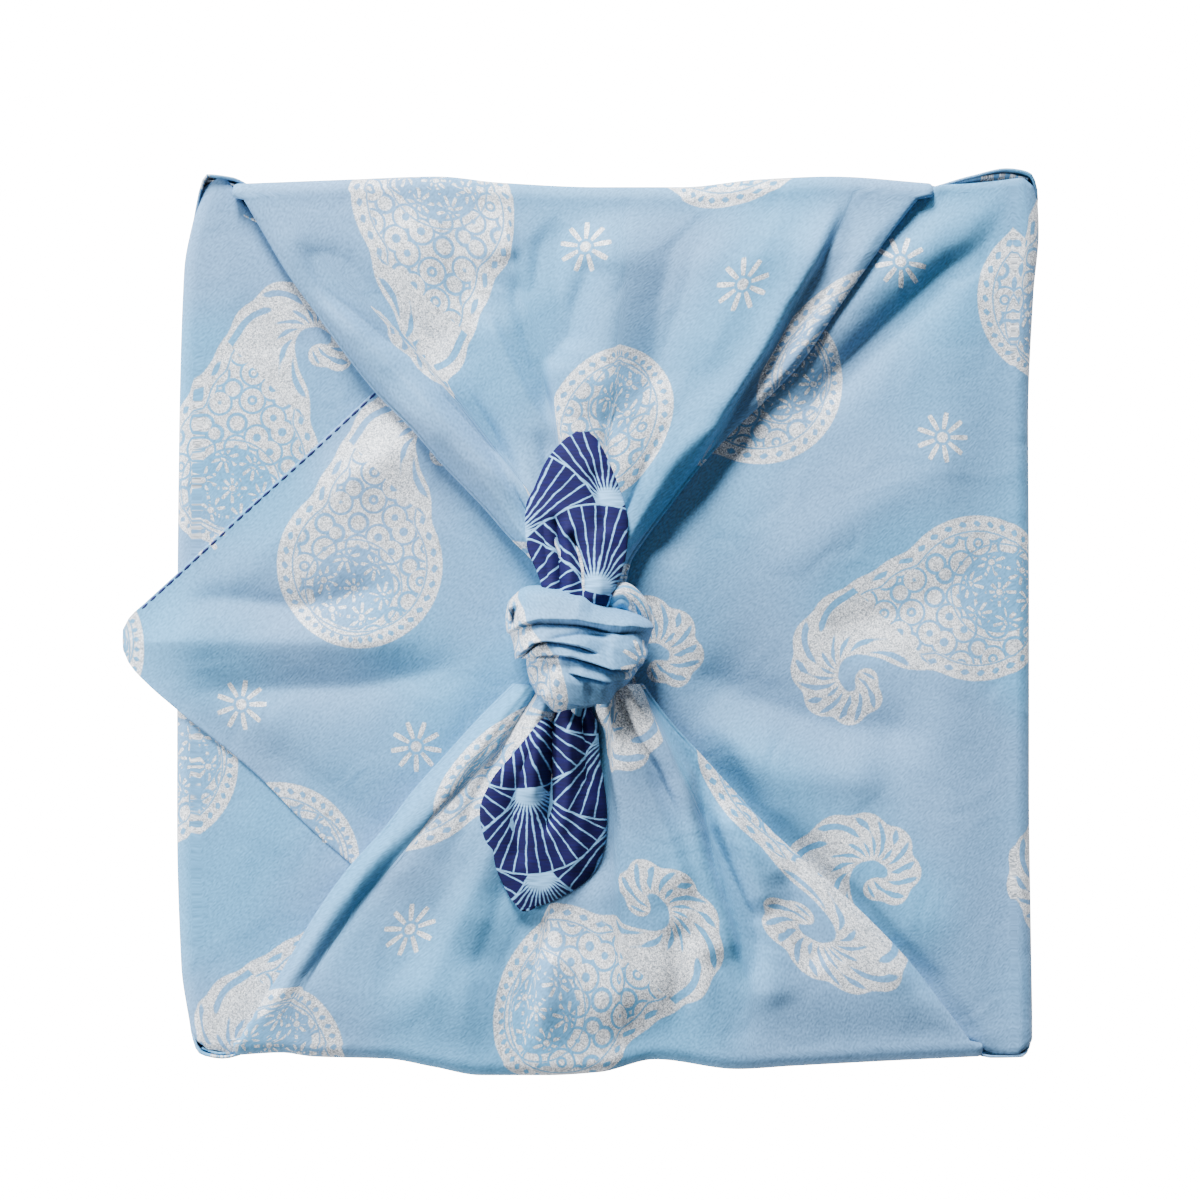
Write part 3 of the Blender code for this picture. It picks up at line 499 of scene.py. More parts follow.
# the faint crumple of cloth that was folded before
crumple = add(tree, "ShaderNodeTexNoise", {"noise_dimensions": "2D"},
              (("Vector", cloth_map.outputs["UV"]), ("Scale", CRUMPLES), ("Detail", 1.0),
               ("Roughness", 0.55), ("Distortion", 0.8)))
slack = add(tree, "ShaderNodeBump", {}, (("Height", crumple.outputs["Fac"]), ("Distance", 0.0012),
                                         ("Strength", 0.5)))
bump = add(tree, "ShaderNodeBump", {}, (("Height", weave), ("Distance", 0.0001), ("Strength", 0.5),
                                        ("Normal", slack.outputs["Normal"])))
tree.links.new(bump.outputs["Normal"], shader.inputs["Normal"])

# One row for each station round the wall, anticlockwise from the near left corner: the outer face
# at the foot and at the rim, and how high the rim stands.
# foot x, foot y, rim x, rim y, rim z
WALL = (
    (-138.5, -143.5, -138.0, -147.6, 45.0),
    (-131.0, -145.0, -130.0, -149.4, 45.6),
    (-118.0, -145.0, -118.0, -147.0, 43.0),
    (-60.0, -145.0, -60.0, -144.6, 40.0),
    (0.0, -145.0, 0.0, -144.6, 40.0),
    (60.0, -145.0, 60.0, -144.6, 40.0),
    (114.0, -145.0, 116.0, -145.4, 42.0),
    (130.0, -145.0, 132.0, -149.2, 45.6),
    (138.5, -143.5, 141.8, -149.0, 45.6),
    (144.4, -138.0, 145.6, -143.0, 41.0),
    (145.0, -124.0, 145.4, -124.0, 36.0),
    (145.2, -112.0, 145.2, -112.0, 36.0),
    (144.5, -58.0, 144.5, -58.0, 36.0),
    (144.5, 6.0, 144.5, 6.0, 36.0),
    (144.2, 68.0, 144.2, 68.0, 36.0),
    (145.4, 108.0, 145.8, 108.0, 36.0),
    (145.6, 124.0, 147.2, 124.0, 36.0),
    (144.6, 137.0, 147.6, 143.0, 43.0),
    (139.5, 144.0, 144.5, 151.6, 46.6),
    (128.0, 145.0, 136.0, 153.2, 47.0),
    (114.0, 145.0, 124.0, 150.6, 46.0),
    (96.0, 145.0, 104.0, 145.8, 43.0),
    (60.0, 145.0, 60.0, 144.6, 40.0),
    (0.0, 145.0, 0.0, 144.2, 40.0),
    (-60.0, 145.0, -60.0, 144.6, 40.0),
    (-112.0, 145.0, -116.0, 146.0, 43.0),
    (-128.0, 145.0, -127.0, 150.4, 46.0),
    (-137.0, 144.0, -135.2, 151.2, 46.6),
    (-142.0, 137.0, -139.8, 139.5, 42.0),
    (-143.4, 121.0, -143.2, 121.0, 36.0),
    (-144.6, 98.0, -144.6, 98.0, 36.0),
    (-145.2, 68.0, -145.2, 68.0, 36.0),
    (-145.9, 0.0, -145.9, 0.0, 36.0),
    (-146.0, -69.0, -146.0, -69.0, 36.0),
    (-145.0, -112.0, -145.0, -112.0, 36.0),
    (-143.4, -134.0, -142.0, -136.0, 40.0),
)
FOOT_ROLL = 4.0             # radius of the cloth at the foot of the wall
WALL_STEP = 2.5             # distance between stations
WALL_ROWS = 18
WALL_START = 0.12           # the first of them, over the foot's roll, as a share of the height
WALL_FLARE = 1.1            # the wall leans out the more the higher it is
WALL_DRIFT = (5, 90.0, 0.25)            # seed, length and height of its slow waves
RIM_ROUND = 0.35            # the lip's edge is rounded over this height


def wall_ring():
    """The wall's table read as one smooth closed curve."""
    table = np.array(WALL)
    table = np.concatenate([table[-3:], table, table[:3]])
    length = np.concatenate([[0.0], np.cumsum(np.hypot(*np.diff(table[:, :2], axis=0).T))])
    start, end = length[3], length[-3]
    at = np.linspace(start, end, int((end - start) / WALL_STEP), endpoint=False)
    rows = np.column_stack([length, table])
    return np.column_stack([curve(rows, at, column) for column in range(1, 6)])


def base_and_walls():
    """One skin: out along the base, up the outer face, over the rim and back along the inside."""
    ring = wall_ring()
    foot, rim, rim_z = ring[:, :2], ring[:, 2:4], ring[:, 4]
    outward = np.roll(foot, -1, axis=0) - np.roll(foot, 1, axis=0)
    outward = np.column_stack([outward[:, 1], -outward[:, 0]])
    outward /= np.linalg.norm(outward, axis=1, keepdims=True)
    rings, flats = [], []

    def ring_at(plan, z, flat):
        rings.append(np.column_stack([plan, np.broadcast_to(z, len(plan))]))
        flats.append(flat)

    def wall_side(shift, turns):
        ring_at(foot * 0.5, shift, foot * 0.5)
        for turn in turns:
            lean = FOOT_ROLL * (1 - math.sin(math.radians(turn)))
            drop = FOOT_ROLL * (1 - math.cos(math.radians(turn)))
            ring_at(foot - outward * max(lean, shift), max(drop, shift), foot)
        for share in np.linspace(WALL_START, 1.0, WALL_ROWS):
            flare = smooth(share) ** WALL_FLARE
            plan = foot + (rim - foot) * flare - outward * shift
            wave = drift(foot[:, 0] * 1.7, foot[:, 1] * 1.7 + share * 40, *WALL_DRIFT) * share
            # The outer face alone waves, so that the wall never cuts into the carton.
            ring_at(plan + outward * np.abs(wave)[:, None], share * rim_z,
                    foot + outward * (share * rim_z)[:, None])

    wall_side(0.0, (0, 25, 50, 75))
    ring_at(rim - outward * CLOTH / 2, rim_z + RIM_ROUND, foot + outward * rim_z[:, None])
    inner_start = len(rings)
    wall_side(CLOTH, (0, 50))
    rings[inner_start:] = rings[inner_start:][::-1]
    flats[inner_start:] = flats[inner_start:][::-1]
    return ring_skin("cloth_base_and_walls", np.array(rings), np.array(flats),
                     [(0.0, 0.0, 0.0), (0.0, 0.0, CLOTH)], [(0.0, 0.0), (0.0, 0.0)])


walls = base_and_walls()
walls.data.materials.append(printed_cotton)
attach(walls, "root")
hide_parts("wrap_cloth")

# --- Left flap -----------------------------------------------------------------------------------
# The left corner of the cloth, folded over the lid first. It lies flat, and only its band along
# the left edge and the two corners beside the right flap show.

CARTON_AIR = 0.3            # between the base of the cloth and the carton
CARTON_HEIGHT = 42.0
LID = CLOTH + CARTON_AIR + CARTON_HEIGHT
LAYER_GAP = 0.5             # air between two layers that lie on each other
UNDER_FLAP = LID + LAYER_GAP + CLOTH / 2            # middle surface of this flap
ROLL = 5.0                  # radius of the cloth over the carton's edge
WALL_FACE = 145.0           # outer face of the wall, from the middle
SIDE_WALL = 144.0           # and of the two walls under the side flaps, where their edges are read

# The reverse: plain-woven cotton, printed deep navy with pale blue fans that overlap like scales.
# The lines are left pale by a resist, so they are slightly uneven and run together at each root.
FAN = 29.0                  # radius of a fan, mm
FAN_ROW = FAN / 2           # from one row of fans to the next
RAY = math.radians(9)       # between two lines of a fan
RAY_HALF = 0.27             # half the width of a line, mm
RIM_LINE = 0.6              # width of the line round a fan, mm
WANDER = 0.8                # mm that the lines wander to either side
UNEVENNESS = 0.22           # in a millimetre, so they wander over 4.5 mm
NAVY_STREAKS = (220.0, 1500.0)          # threads again, drawn 4.5 mm by 0.7 mm

navy_cotton, tree, shader = new_material("navy_printed_cotton")
cloth_map = add(tree, "ShaderNodeUVMap", {"uv_map": "cloth"})
in_mm = add(tree, "ShaderNodeMapping", {}, (("Vector", cloth_map.outputs["UV"]),
                                           ("Location", (4.0, 5.0, 0.0)),
                                           ("Scale", (1 / MM, 1 / MM, 1 / MM)),
                                           ("Rotation", (0.0, 0.0, math.radians(8)))))
uneven = add(tree, "ShaderNodeTexNoise", {"noise_dimensions": "2D"},
             (("Vector", in_mm.outputs["Vector"]), ("Scale", UNEVENNESS), ("Detail", 2.0)))
shift = add(tree, "ShaderNodeVectorMath", {"operation": "MULTIPLY_ADD"},
            ((0, uneven.outputs["Color"]), (1, (WANDER, WANDER, 0.0)), (2, in_mm.outputs["Vector"])))
split = add(tree, "ShaderNodeSeparateXYZ", {}, (("Vector", shift.outputs["Vector"]),))
wires = {"u": split.outputs["X"], "v": split.outputs["Y"], "noise": uneven.outputs["Fac"]}
steps = (
    ("row place", "DIVIDE", "v", FAN_ROW),
    ("row", "FLOOR", "row place"),
    ("row share", "FRACT", "row place"),
    ("back y", "MULTIPLY", "row share", FAN_ROW),
    ("front y", "ADD", "back y", FAN_ROW),
    ("half row", "MULTIPLY", "row", 0.5),
    ("odd", "FRACT", "half row"),
    ("back place", "MULTIPLY_ADD", "u", 0.5 / FAN, "odd"),
    ("back share", "FRACT", "back place"),
    ("back x", "MULTIPLY_ADD", "back share", 2 * FAN, -FAN),
    ("front place", "ADD", "back place", 0.5),
    ("front share", "FRACT", "front place"),
    ("front x", "MULTIPLY_ADD", "front share", 2 * FAN, -FAN),
    ("front x squared", "MULTIPLY", "front x", "front x"),
    ("front squared", "MULTIPLY_ADD", "front y", "front y", "front x squared"),
    ("is front", "LESS_THAN", "front squared", FAN ** 2),
    ("x step", "SUBTRACT", "front x", "back x"),
    ("x", "MULTIPLY_ADD", "x step", "is front", "back x"),
    ("y", "MULTIPLY_ADD", "is front", FAN_ROW, "back y"),
    ("x squared", "MULTIPLY", "x", "x"),
    ("squared", "MULTIPLY_ADD", "y", "y", "x squared"),
    ("radius", "SQRT", "squared"),
    ("angle", "ARCTAN2", "x", "y"),
    ("ray place", "DIVIDE", "angle", RAY),
    ("ray", "ROUND", "ray place"),
    ("ray off", "SUBTRACT", "ray place", "ray"),
    ("ray turn", "ABSOLUTE", "ray off"),
    ("ray arc", "MULTIPLY", "radius", RAY),
    ("ray gap", "MULTIPLY", "ray turn", "ray arc"),
    ("near root", "MULTIPLY_ADD", "radius", -0.1, 0.9),
    ("ray width", "MAXIMUM", "near root", RAY_HALF),
    ("line", "SUBTRACT", "ray width", "ray gap"),
    ("rim", "SUBTRACT", "radius", FAN - RIM_LINE),
    ("print", "MAXIMUM", "line", "rim"),
    ("print edge", "MULTIPLY_ADD", "noise", 0.9, -0.1),
    ("printed", "MULTIPLY_ADD", "print", 3.5, "print edge"))
for result, operation, *inputs in steps:
    wires[result] = add(tree, "ShaderNodeMath", {"operation": operation}, [
        (i, wires.get(value, value)) for i, value in enumerate(inputs)]).outputs[0]
pale = add(tree, "ShaderNodeClamp", {}, (("Value", wires["printed"]),))
weave, thread_shade = woven(tree, cloth_map.outputs["UV"], 45, NAVY_STREAKS, (2.3, 6.1), (0.7, 1.25))
dyed = add(tree, "ShaderNodeMix", {"data_type": "RGBA"},
           (("Factor", pale.outputs["Result"]), ("A", linear("#040240")), ("B", linear("#7DB4E2"))))
colour = add(tree, "ShaderNodeMix", {"data_type": "RGBA", "blend_type": "MULTIPLY"},
             (("Factor", 1.0), ("A", dyed.outputs["Result"]), ("B", thread_shade)))
tree.links.new(colour.outputs["Result"], shader.inputs["Base Color"])
shader.inputs["Roughness"].default_value = 0.8
shader.inputs["Specular IOR Level"].default_value = 0.25
bump = add(tree, "ShaderNodeBump", {}, (("Height", weave), ("Distance", 0.00008),
                                        ("Strength", 0.6)))
tree.links.new(bump.outputs["Normal"], shader.inputs["Normal"])

FOLD_CRISP = 1.55           # 2 is a round fold, 1 a sharp crease
FOLD_FADE = 0.22            # a fold fades out over this share of its length at each end
FOLD_END = 0.1              # and keeps a trace of its height at the very end


def fold_lift(x, y, folds):
    """How far ridges (+) and troughs (-) move the cloth at x, y.

    A fold has its own width on the left and on the right of its line, as it is followed from its
    first point, so a crease can be steep on one side and long on the other.
    """
    lift = np.zeros(np.shape(x))
    for left_width, right_width, height, points in folds:
        lengths = [math.dist(a, b) for a, b in zip(points, points[1:])]
        nearest = np.full(np.shape(x), np.inf)
        place = np.zeros(np.shape(x))
        on_left = np.zeros(np.shape(x), bool)
        run = 0.0
        for (a, b), length in zip(zip(points, points[1:]), lengths):
            t = ((x - a[0]) * (b[0] - a[0]) + (y - a[1]) * (b[1] - a[1])) / length ** 2
            t = np.clip(t, 0.0, 1.0)
            gap = np.hypot(x - a[0] - t * (b[0] - a[0]), y - a[1] - t * (b[1] - a[1]))
            side = (b[0] - a[0]) * (y - a[1]) - (b[1] - a[1]) * (x - a[0])
            closer = gap < nearest
            place = np.where(closer, (run + t * length) / sum(lengths), place)
            on_left = np.where(closer, side > 0.0, on_left)
            nearest = np.minimum(gap, nearest)
            run += length
        ends = smooth(np.minimum(place, 1.0 - place) / FOLD_FADE + FOLD_END)
        width = np.where(on_left, left_width, right_width)
        lift += height * np.exp(-(nearest / width) ** FOLD_CRISP) * ends
    return lift


RIM_REACH = 0.4             # a sheet's rounded rim stands out by this share of its thickness


def sheet(name, middle, flat, thickness=CLOTH):
    """A closed sheet round a grid of points, [row, column, xyz], with a rounded rim."""
    rows, columns = middle.shape[:2]
    normal = np.cross(np.gradient(middle, axis=0), np.gradient(middle, axis=1))
    normal /= np.linalg.norm(normal, axis=2, keepdims=True)
    if normal[rows // 2:, columns // 2, 2].mean() < 0:
        normal = -normal
    index = np.arange(rows * columns).reshape(rows, columns)
    back = rows * columns
    rim = np.concatenate([index[0, :-1], index[:-1, -1], index[-1, :0:-1], index[:0:-1, 0]])
    flat_middle = middle.reshape(-1, 3)
    inward = flat_middle[rim] - middle[1:-1, 1:-1].reshape(-1, 3)[
        np.clip(rim // columns - 1, 0, rows - 3) * (columns - 2)
        + np.clip(rim % columns - 1, 0, columns - 3)]
    inward /= np.linalg.norm(inward, axis=1, keepdims=True)
    edge = flat_middle[rim] + inward * thickness * RIM_REACH
    points = np.concatenate([flat_middle + normal.reshape(-1, 3) * thickness / 2,
                             flat_middle - normal.reshape(-1, 3) * thickness / 2, edge])
    flat = flat.reshape(-1, 2)
    flats = np.concatenate([flat, flat, flat[rim]])
    a, b = index[:-1, :-1].ravel(), index[:-1, 1:].ravel()
    c, d = index[1:, 1:].ravel(), index[1:, :-1].ravel()
    top = np.column_stack([a, b, c, d])
    bottom = np.column_stack([d, c, b, a]) + back
    ends = np.arange(len(rim)) + 2 * back
    nexts = np.roll(rim, -1)
    upper = np.column_stack([nexts, rim, ends, np.roll(ends, -1)])
    lower = np.column_stack([rim + back, nexts + back, np.roll(ends, -1), ends])
    faces = np.concatenate([top, bottom, upper, lower]).tolist()
    return cloth_mesh(name, points, flats, faces, range(len(top), 2 * len(top)))


# Outer face of the wall under each flap's roll. y, x
LEFT_SIDE = ((-150, -140.0), (-140, -141.4), (-118, -144.6), (-69, -146.0), (0, -145.9),
             (68, -145.2), (119, -143.6), (139, -139.8), (150, -137.0))
RIGHT_SIDE = ((-150, 145.4), (-140, 145.6), (-112, 145.2), (-58, 144.5), (6, 144.5),
              (68, 144.2), (111, 146.0), (132, 147.8), (150, 147.0))
# reach across the lid, far edge y, near edge y
UNDER_EDGES = ((-146.0, 149.6, -145.4), (-136.0, 149.8, -146.4), (-131.9, 145.9, -147.2),
               (-122.7, 137.9, -145.6), (-116.0, 134.0, -142.0), (0.0, 133.0, -140.0),
               (30.0, 108.0, -110.0), (90.0, 46.0, -50.0), (130.0, 7.0, -9.0))
# left width, right width, lift, points (x, y)
UNDER_FOLDS = (
    (9.0, 9.0, -0.9, ((-134, 110), (-112, 96), (-92, 78), (-70, 60))),
    (12.0, 12.0, 0.7, ((-138, 66), (-112, 62), (-96, 50))),
    (10.0, 7.0, 0.8, ((-128, -66), (-106, -78), (-88, -92))),
    (8.0, 8.0, -1.0, ((-126, -118), (-104, -108), (-92, -98))),
    (6.0, 6.0, 0.6, ((-138, 132), (-128, 112), (-120, 100))),
)
FLAP_WALL_ROWS = ((24.0, 26.0), (28.0, 20.0), (32.0, 14.0), (36.0, 9.0))   # height, narrower by
PROUD = 0.45                # and at its top the flap stands this far outside the wall
EDGE_DRAW = 5.0             # narrower by this at the start of the roll over the carton's edge
ROLL_TURNS = (0, 15, 30, 45, 60, 75)    # degrees round the roll
ROLL_SHARE = 6.0            # past 1/6 of the lid a flap has lost the wall's shape
UNDER_LOFT = 0.5            # the left flap stands this far off the lid between its folds
UNDER_RANGE = (-0.3, 1.1)   # and its folds keep between these heights
UNDER_RUN = 20.0            # which they reach this far in from an edge
UNDER_DRIFT = (11, 60.0, 0.22)          # seed, length and height of its slow waves


def under_height(x, y):
    """Middle surface of the left flap on the lid."""
    inset = np.minimum(curve(UNDER_EDGES, x, 1) - y, y - curve(UNDER_EDGES, x, 2))
    inset = np.minimum(inset, x + SIDE_WALL - ROLL)
    lift = fold_lift(x, y, UNDER_FOLDS) + drift(x, y, *UNDER_DRIFT)
    return UNDER_FLAP + np.clip(lift + UNDER_LOFT, *UNDER_RANGE) * smooth(inset / UNDER_RUN)


def flap(name, side, edges, level, height, over_wall, tip_x, step, across):
    """A corner of the cloth that comes up a side wall and lies across the lid.

    side is -1 for the left wall and 1 for the right one; over_wall is that wall's table, and
    height gives the flap's middle surface on the lid.
    """
    share = np.linspace(0.0, 1.0, across)
    rows, flats = [], []
    run = WALL_FACE
    far, near = curve(edges, side * SIDE_WALL, 1), curve(edges, side * SIDE_WALL, 2)
    low, high = FLAP_WALL_ROWS[0][0], FLAP_WALL_ROWS[-1][0]
    for z, narrower in FLAP_WALL_ROWS + ((level - ROLL, EDGE_DRAW),):
        y = far - narrower + (near - far + 2 * narrower) * share
        x = curve(over_wall, y) - side * (CLOTH / 2 - PROUD * smooth((z - low) / (high - low)))
        rows.append(np.column_stack([x, y, np.full(across, z)]))
        flats.append(np.column_stack([np.full(across, side * (run + z)), y]))
    run += level - ROLL
    for turn in ROLL_TURNS[1:]:
        spin = math.radians(turn)
        narrower = EDGE_DRAW * (1 - turn / 90)
        y = far - narrower + (near - far + 2 * narrower) * share
        x = curve(over_wall, y) - side * (CLOTH / 2 - PROUD + ROLL * (1 - math.cos(spin)))
        z = level - ROLL * (1 - math.sin(spin))
        rows.append(np.column_stack([x, y, np.full(across, z)]))
        flats.append(np.column_stack([np.full(across, side * (run + ROLL * spin)), y]))
    run += ROLL * math.pi / 2
    start = side * (SIDE_WALL - ROLL)
    for way in np.linspace(0.0, 1.0, int(abs(tip_x - start) / step)):
        x = start + (tip_x - start) * way
        far, near = curve(edges, x, 1), curve(edges, x, 2)
        y = far + (near - far) * share
        rolled = curve(over_wall, y) - side * (CLOTH / 2 - PROUD + ROLL)
        xs = x + (rolled - start) * (1 - smooth(way * ROLL_SHARE))
        rows.append(np.column_stack([xs, y, height(xs, y)]))
        flats.append(np.column_stack([side * (run + abs(xs - start)), y]))
    return sheet(name, np.array(rows), np.array(flats))


left_flap = flap("cloth_left_flap", -1, UNDER_EDGES, UNDER_FLAP, under_height, LEFT_SIDE,
                 tip_x=130.0, step=3.0, across=110)
for material in (printed_cotton, navy_cotton):
    left_flap.data.materials.append(material)
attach(left_flap, "root")
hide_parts("wrap_cloth")

# --- Corner tucks --------------------------------------------------------------------------------
# Where two sides of the cloth meet at a corner of the carton, the spare width folds inwards
# behind the lip as a tuck. It fills the open ear, so that only a thin dark slit is left.

# For each corner, rows from the tip of the ear to its inner end: the top of the tuck behind the
# lip, the bottom of its valley, and its inner edge on the lid. x, y, z three times
TUCKS = {
    "far_left": ((-136.0, 149.4, 43.6, -135.6, 148.0, 38.0, -134.8, 146.8, 41.6),
                 (-132.0, 149.0, 44.4, -131.4, 146.6, 38.0, -129.8, 143.2, 43.9),
                 (-127.0, 148.0, 44.4, -125.6, 144.6, 39.5, -123.2, 137.6, 44.6),
                 (-121.0, 145.8, 43.6, -119.6, 142.4, 42.0, -117.0, 134.6, 45.0)),
    "far_right": ((143.8, 149.8, 45.4, 142.6, 147.6, 39.5, 141.0, 145.4, 44.4),
                  (136.0, 151.2, 45.9, 134.6, 148.6, 40.0, 132.6, 145.6, 45.6),
                  (124.0, 149.4, 45.2, 123.0, 147.6, 41.0, 121.4, 145.0, 46.2),
                  (110.0, 146.4, 43.4, 109.4, 145.4, 42.0, 108.6, 142.6, 45.4)),
    "near_left": ((-137.2, -146.2, 43.8, -136.4, -145.6, 39.0, -135.0, -143.6, 43.4),
                  (-131.0, -147.9, 44.6, -130.2, -146.0, 39.5, -128.8, -143.4, 44.6),
                  (-124.0, -147.2, 43.6, -123.2, -145.6, 41.0, -121.6, -142.6, 45.2),
                  (-116.0, -145.4, 42.0, -115.4, -144.6, 40.8, -114.0, -142.0, 44.6)),
    "near_right": ((141.0, -147.4, 44.4, 139.8, -146.0, 39.0, 138.0, -144.6, 44.0),
                   (133.0, -147.8, 44.6, 132.0, -146.0, 40.0, 130.4, -144.0, 45.4),
                   (124.0, -146.8, 43.6, 123.2, -145.6, 41.0, 121.6, -143.0, 45.6),
                   (116.0, -145.0, 42.0, 115.4, -144.4, 41.0, 114.0, -142.4, 44.8)),
}
TUCK_CLOTH = 0.8            # mm
TUCK_ALONG, TUCK_ROUND = 30, 20         # points along a tuck and round its fold
TUCK_FLAT = 1.08            # laid flat it is this much larger than it looks from above
for corner, rows in TUCKS.items():
    rows = np.array(rows)
    along = np.linspace(0, len(rows) - 1, TUCK_ALONG)
    table = np.column_stack([np.arange(len(rows)), rows])
    lip, valley, inner = (np.column_stack([curve(table, along, 1 + first + axis)
                                           for axis in range(3)]) for first in (0, 3, 6))
    way = np.linspace(0.0, 1.0, TUCK_ROUND)[None, :, None]
    # A soft V: a curve from the lip to the inner edge, pulled down to the valley.
    pull = 2 * valley - (lip + inner) / 2
    grid = (lip[:, None] * (1 - way) ** 2 + 2 * way * (1 - way) * pull[:, None]
            + inner[:, None] * way ** 2)
    tuck = sheet("cloth_tuck_" + corner, grid, grid[:, :, :2] * TUCK_FLAT, TUCK_CLOTH)
    # The cloth lies double in a tuck, so its blue face looks out on both sides.
    for material in (printed_cotton, printed_cotton):
        tuck.data.materials.append(material)
    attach(tuck, "root")
    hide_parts("wrap_cloth")

# --- Right flap ----------------------------------------------------------------------------------
# The right corner, folded over the left one. It swells a little between its edges, is pulled into
# soft troughs towards the knot, and its rounded tip hangs past the left edge.

CLOTH_SIDE = 708.0          # the cloth laid flat: a square
OVER_FLAP = UNDER_FLAP + CLOTH + LAYER_GAP          # middle surface of this flap
OVER_EDGES = ((-164.6, -3.6, -10.4), (-163.0, -0.2, -14.5), (-157.0, 5.2, -21.0),
              (-145.0, 15.8, -31.0), (-120.0, 39.0, -51.0), (-100.0, 57.0, -71.0),
              (-76.5, 78.9, -91.0), (-45.0, 108.0, -119.0), (-18.0, 133.5, -141.0),
              (0.0, 141.5, -142.0), (60.0, 142.0, -142.0), (102.0, 142.4, -142.0),
              (113.0, 147.2, -142.4), (122.0, 147.8, -142.8), (130.0, 148.6, -147.0),
              (140.0, 149.8, -147.6), (148.0, 149.6, -147.4))
OVER_FOLDS = (
    (7.5, 4.0, -2.3, ((143, 142), (136, 135), (129, 125), (118, 120), (90, 94), (63, 68))),
    (9.0, 6.0, 1.1, ((133, 146), (112, 132), (88, 110), (66, 86))),
    (7.0, 9.0, -1.6, ((52, 70), (30, 40), (15, 19))),
    (6.0, 6.0, -1.2, ((-146, 9), (-103, 4), (-71, 12))),
    (7.0, 7.0, -1.2, ((-146, -25), (-85, -23), (-42, -15))),
    (8.0, 8.0, 1.2, ((-158, -7), (-110, -8), (-60, -7))),
    (9.0, 11.0, -1.5, ((26, -16), (50, -27), (78, -36), (112, -40))),
    (12.0, 9.0, 1.2, ((30, -34), (62, -52), (98, -56))),
    (8.0, 4.0, -2.0, ((18, -34), (29, -46), (40, -58), (53, -72), (66, -84), (83, -99), (101, -117),
                      (112, -131), (120, -141))),
    (9.0, 7.0, 1.5, ((38, -36), (60, -56), (84, -80), (106, -104), (118, -118))),
    (4.0, 9.0, -0.6, ((-26, -19), (-41, -34), (-52, -46), (-63, -58), (-74, -71), (-85, -83))),
    (14.0, 14.0, 1.0, ((128, 60), (92, 40), (52, 14))),
    (10.0, 8.0, -0.8, ((136, 20), (104, 4), (70, -6))),
    (10.0, 10.0, 0.9, ((-96, 44), (-70, 56), (-50, 66))),
    (8.0, 12.0, -0.9, ((-120, -42), (-88, -62), (-66, -84))),
)
FLAP_DEPTH = 2.5            # the folds are this many times as deep as their table says
OVER_SWELL = 3.2            # between its edges the flap stands this far off the lower one
SWELL_RUN = 26.0            # and it reaches that height this far in from an edge
TIP = WALL_FACE - (CLOTH_SIDE / math.sqrt(2) - WALL_FACE - OVER_FLAP)
TIP_START = -138.0          # left of this the loose corner bends down
TIP_DROOP, TIP_BEND = 7.0, 1.6          # by this much at its tip, and the bend quickens
OVER_DRIFT = (23, 55.0, 0.3)            # seed, length and height of its slow waves
OVER_SINK = 0.4             # a trough sinks into the air under the flap by this share of it


def over_height(x, y):
    """Middle surface of the right flap on the lid."""
    inset = np.minimum(curve(OVER_EDGES, x, 1) - y, y - curve(OVER_EDGES, x, 2))
    inset = np.minimum(inset, RIGHT_SIDE[4][1] - ROLL - x)
    swell = smooth(inset / SWELL_RUN)
    folds = FLAP_DEPTH * fold_lift(x, y, OVER_FOLDS) + drift(x, y, *OVER_DRIFT)
    lift = swell * (OVER_SWELL + folds)
    past = np.clip(TIP_START - x, 0.0, None) / (TIP_START - TIP)
    return OVER_FLAP + np.maximum(lift, -OVER_SINK * LAYER_GAP) - TIP_DROOP * past ** TIP_BEND


right_flap = flap("cloth_right_flap", 1, OVER_EDGES, OVER_FLAP, over_height, RIGHT_SIDE,
                  tip_x=TIP, step=2.0, across=140)
for material in (printed_cotton, navy_cotton):
    right_flap.data.materials.append(material)
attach(right_flap, "root")
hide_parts("wrap_cloth")

# --- Arms ----------------------------------------------------------------------------------------
# The far and near corners, gathered by hand into arms that fan out to the full width of the
# carton. Their sides are folded under, long pleats run into the knot, and each comes up its wall
# in shallow waves.

ARM_REST = OVER_FLAP + CLOTH + LAYER_GAP            # middle surface of an arm where it lies flat
# distance from the middle, left x, right x
FAR_ARM = ((5, -17.5, 4.0), (19, -22.5, 7.0), (28, -30.9, 12.6), (38, -39.6, 20.1), (52, -53.0, 30.9),
           (64, -63.4, 41.8), (77, -76.2, 55.5), (88, -85.0, 65.6), (103, -95.9, 75.8),
           (118, -106.8, 86.4), (131, -114.6, 95.9), (143, -121.7, 105.6), (148, -124.8, 109.8))
NEAR_ARM = ((19, -26.5, 9.0), (34, -41.5, 20.1), (46, -52.4, 30.9), (58, -63.2, 41.8),
            (72, -74.1, 55.0), (84, -85.0, 68.2), (99, -95.9, 85.0), (117, -106.8, 102.8),
            (131, -115.9, 114.0), (142, -122.4, 122.4), (148, -124.4, 126.5))
# The same wall's outer face, which waves. x, distance
FAR_WAVES = ((-125, 148.2), (-87, 149.6), (-57, 150.6), (-36, 148.6), (-2, 147.1), (26, 147.1),
             (52, 149.6), (77, 150.6), (110, 148.4))
NEAR_WAVES = ((-125, 148.4), (-110, 147.6), (-99, 148.9), (-74, 149.6), (-58, 152.3),
              (-42, 155.0), (-20, 155.0), (-2, 154.0), (17, 149.8), (45, 153.0), (63, 152.0),
              (96, 150.3), (126, 148.9))
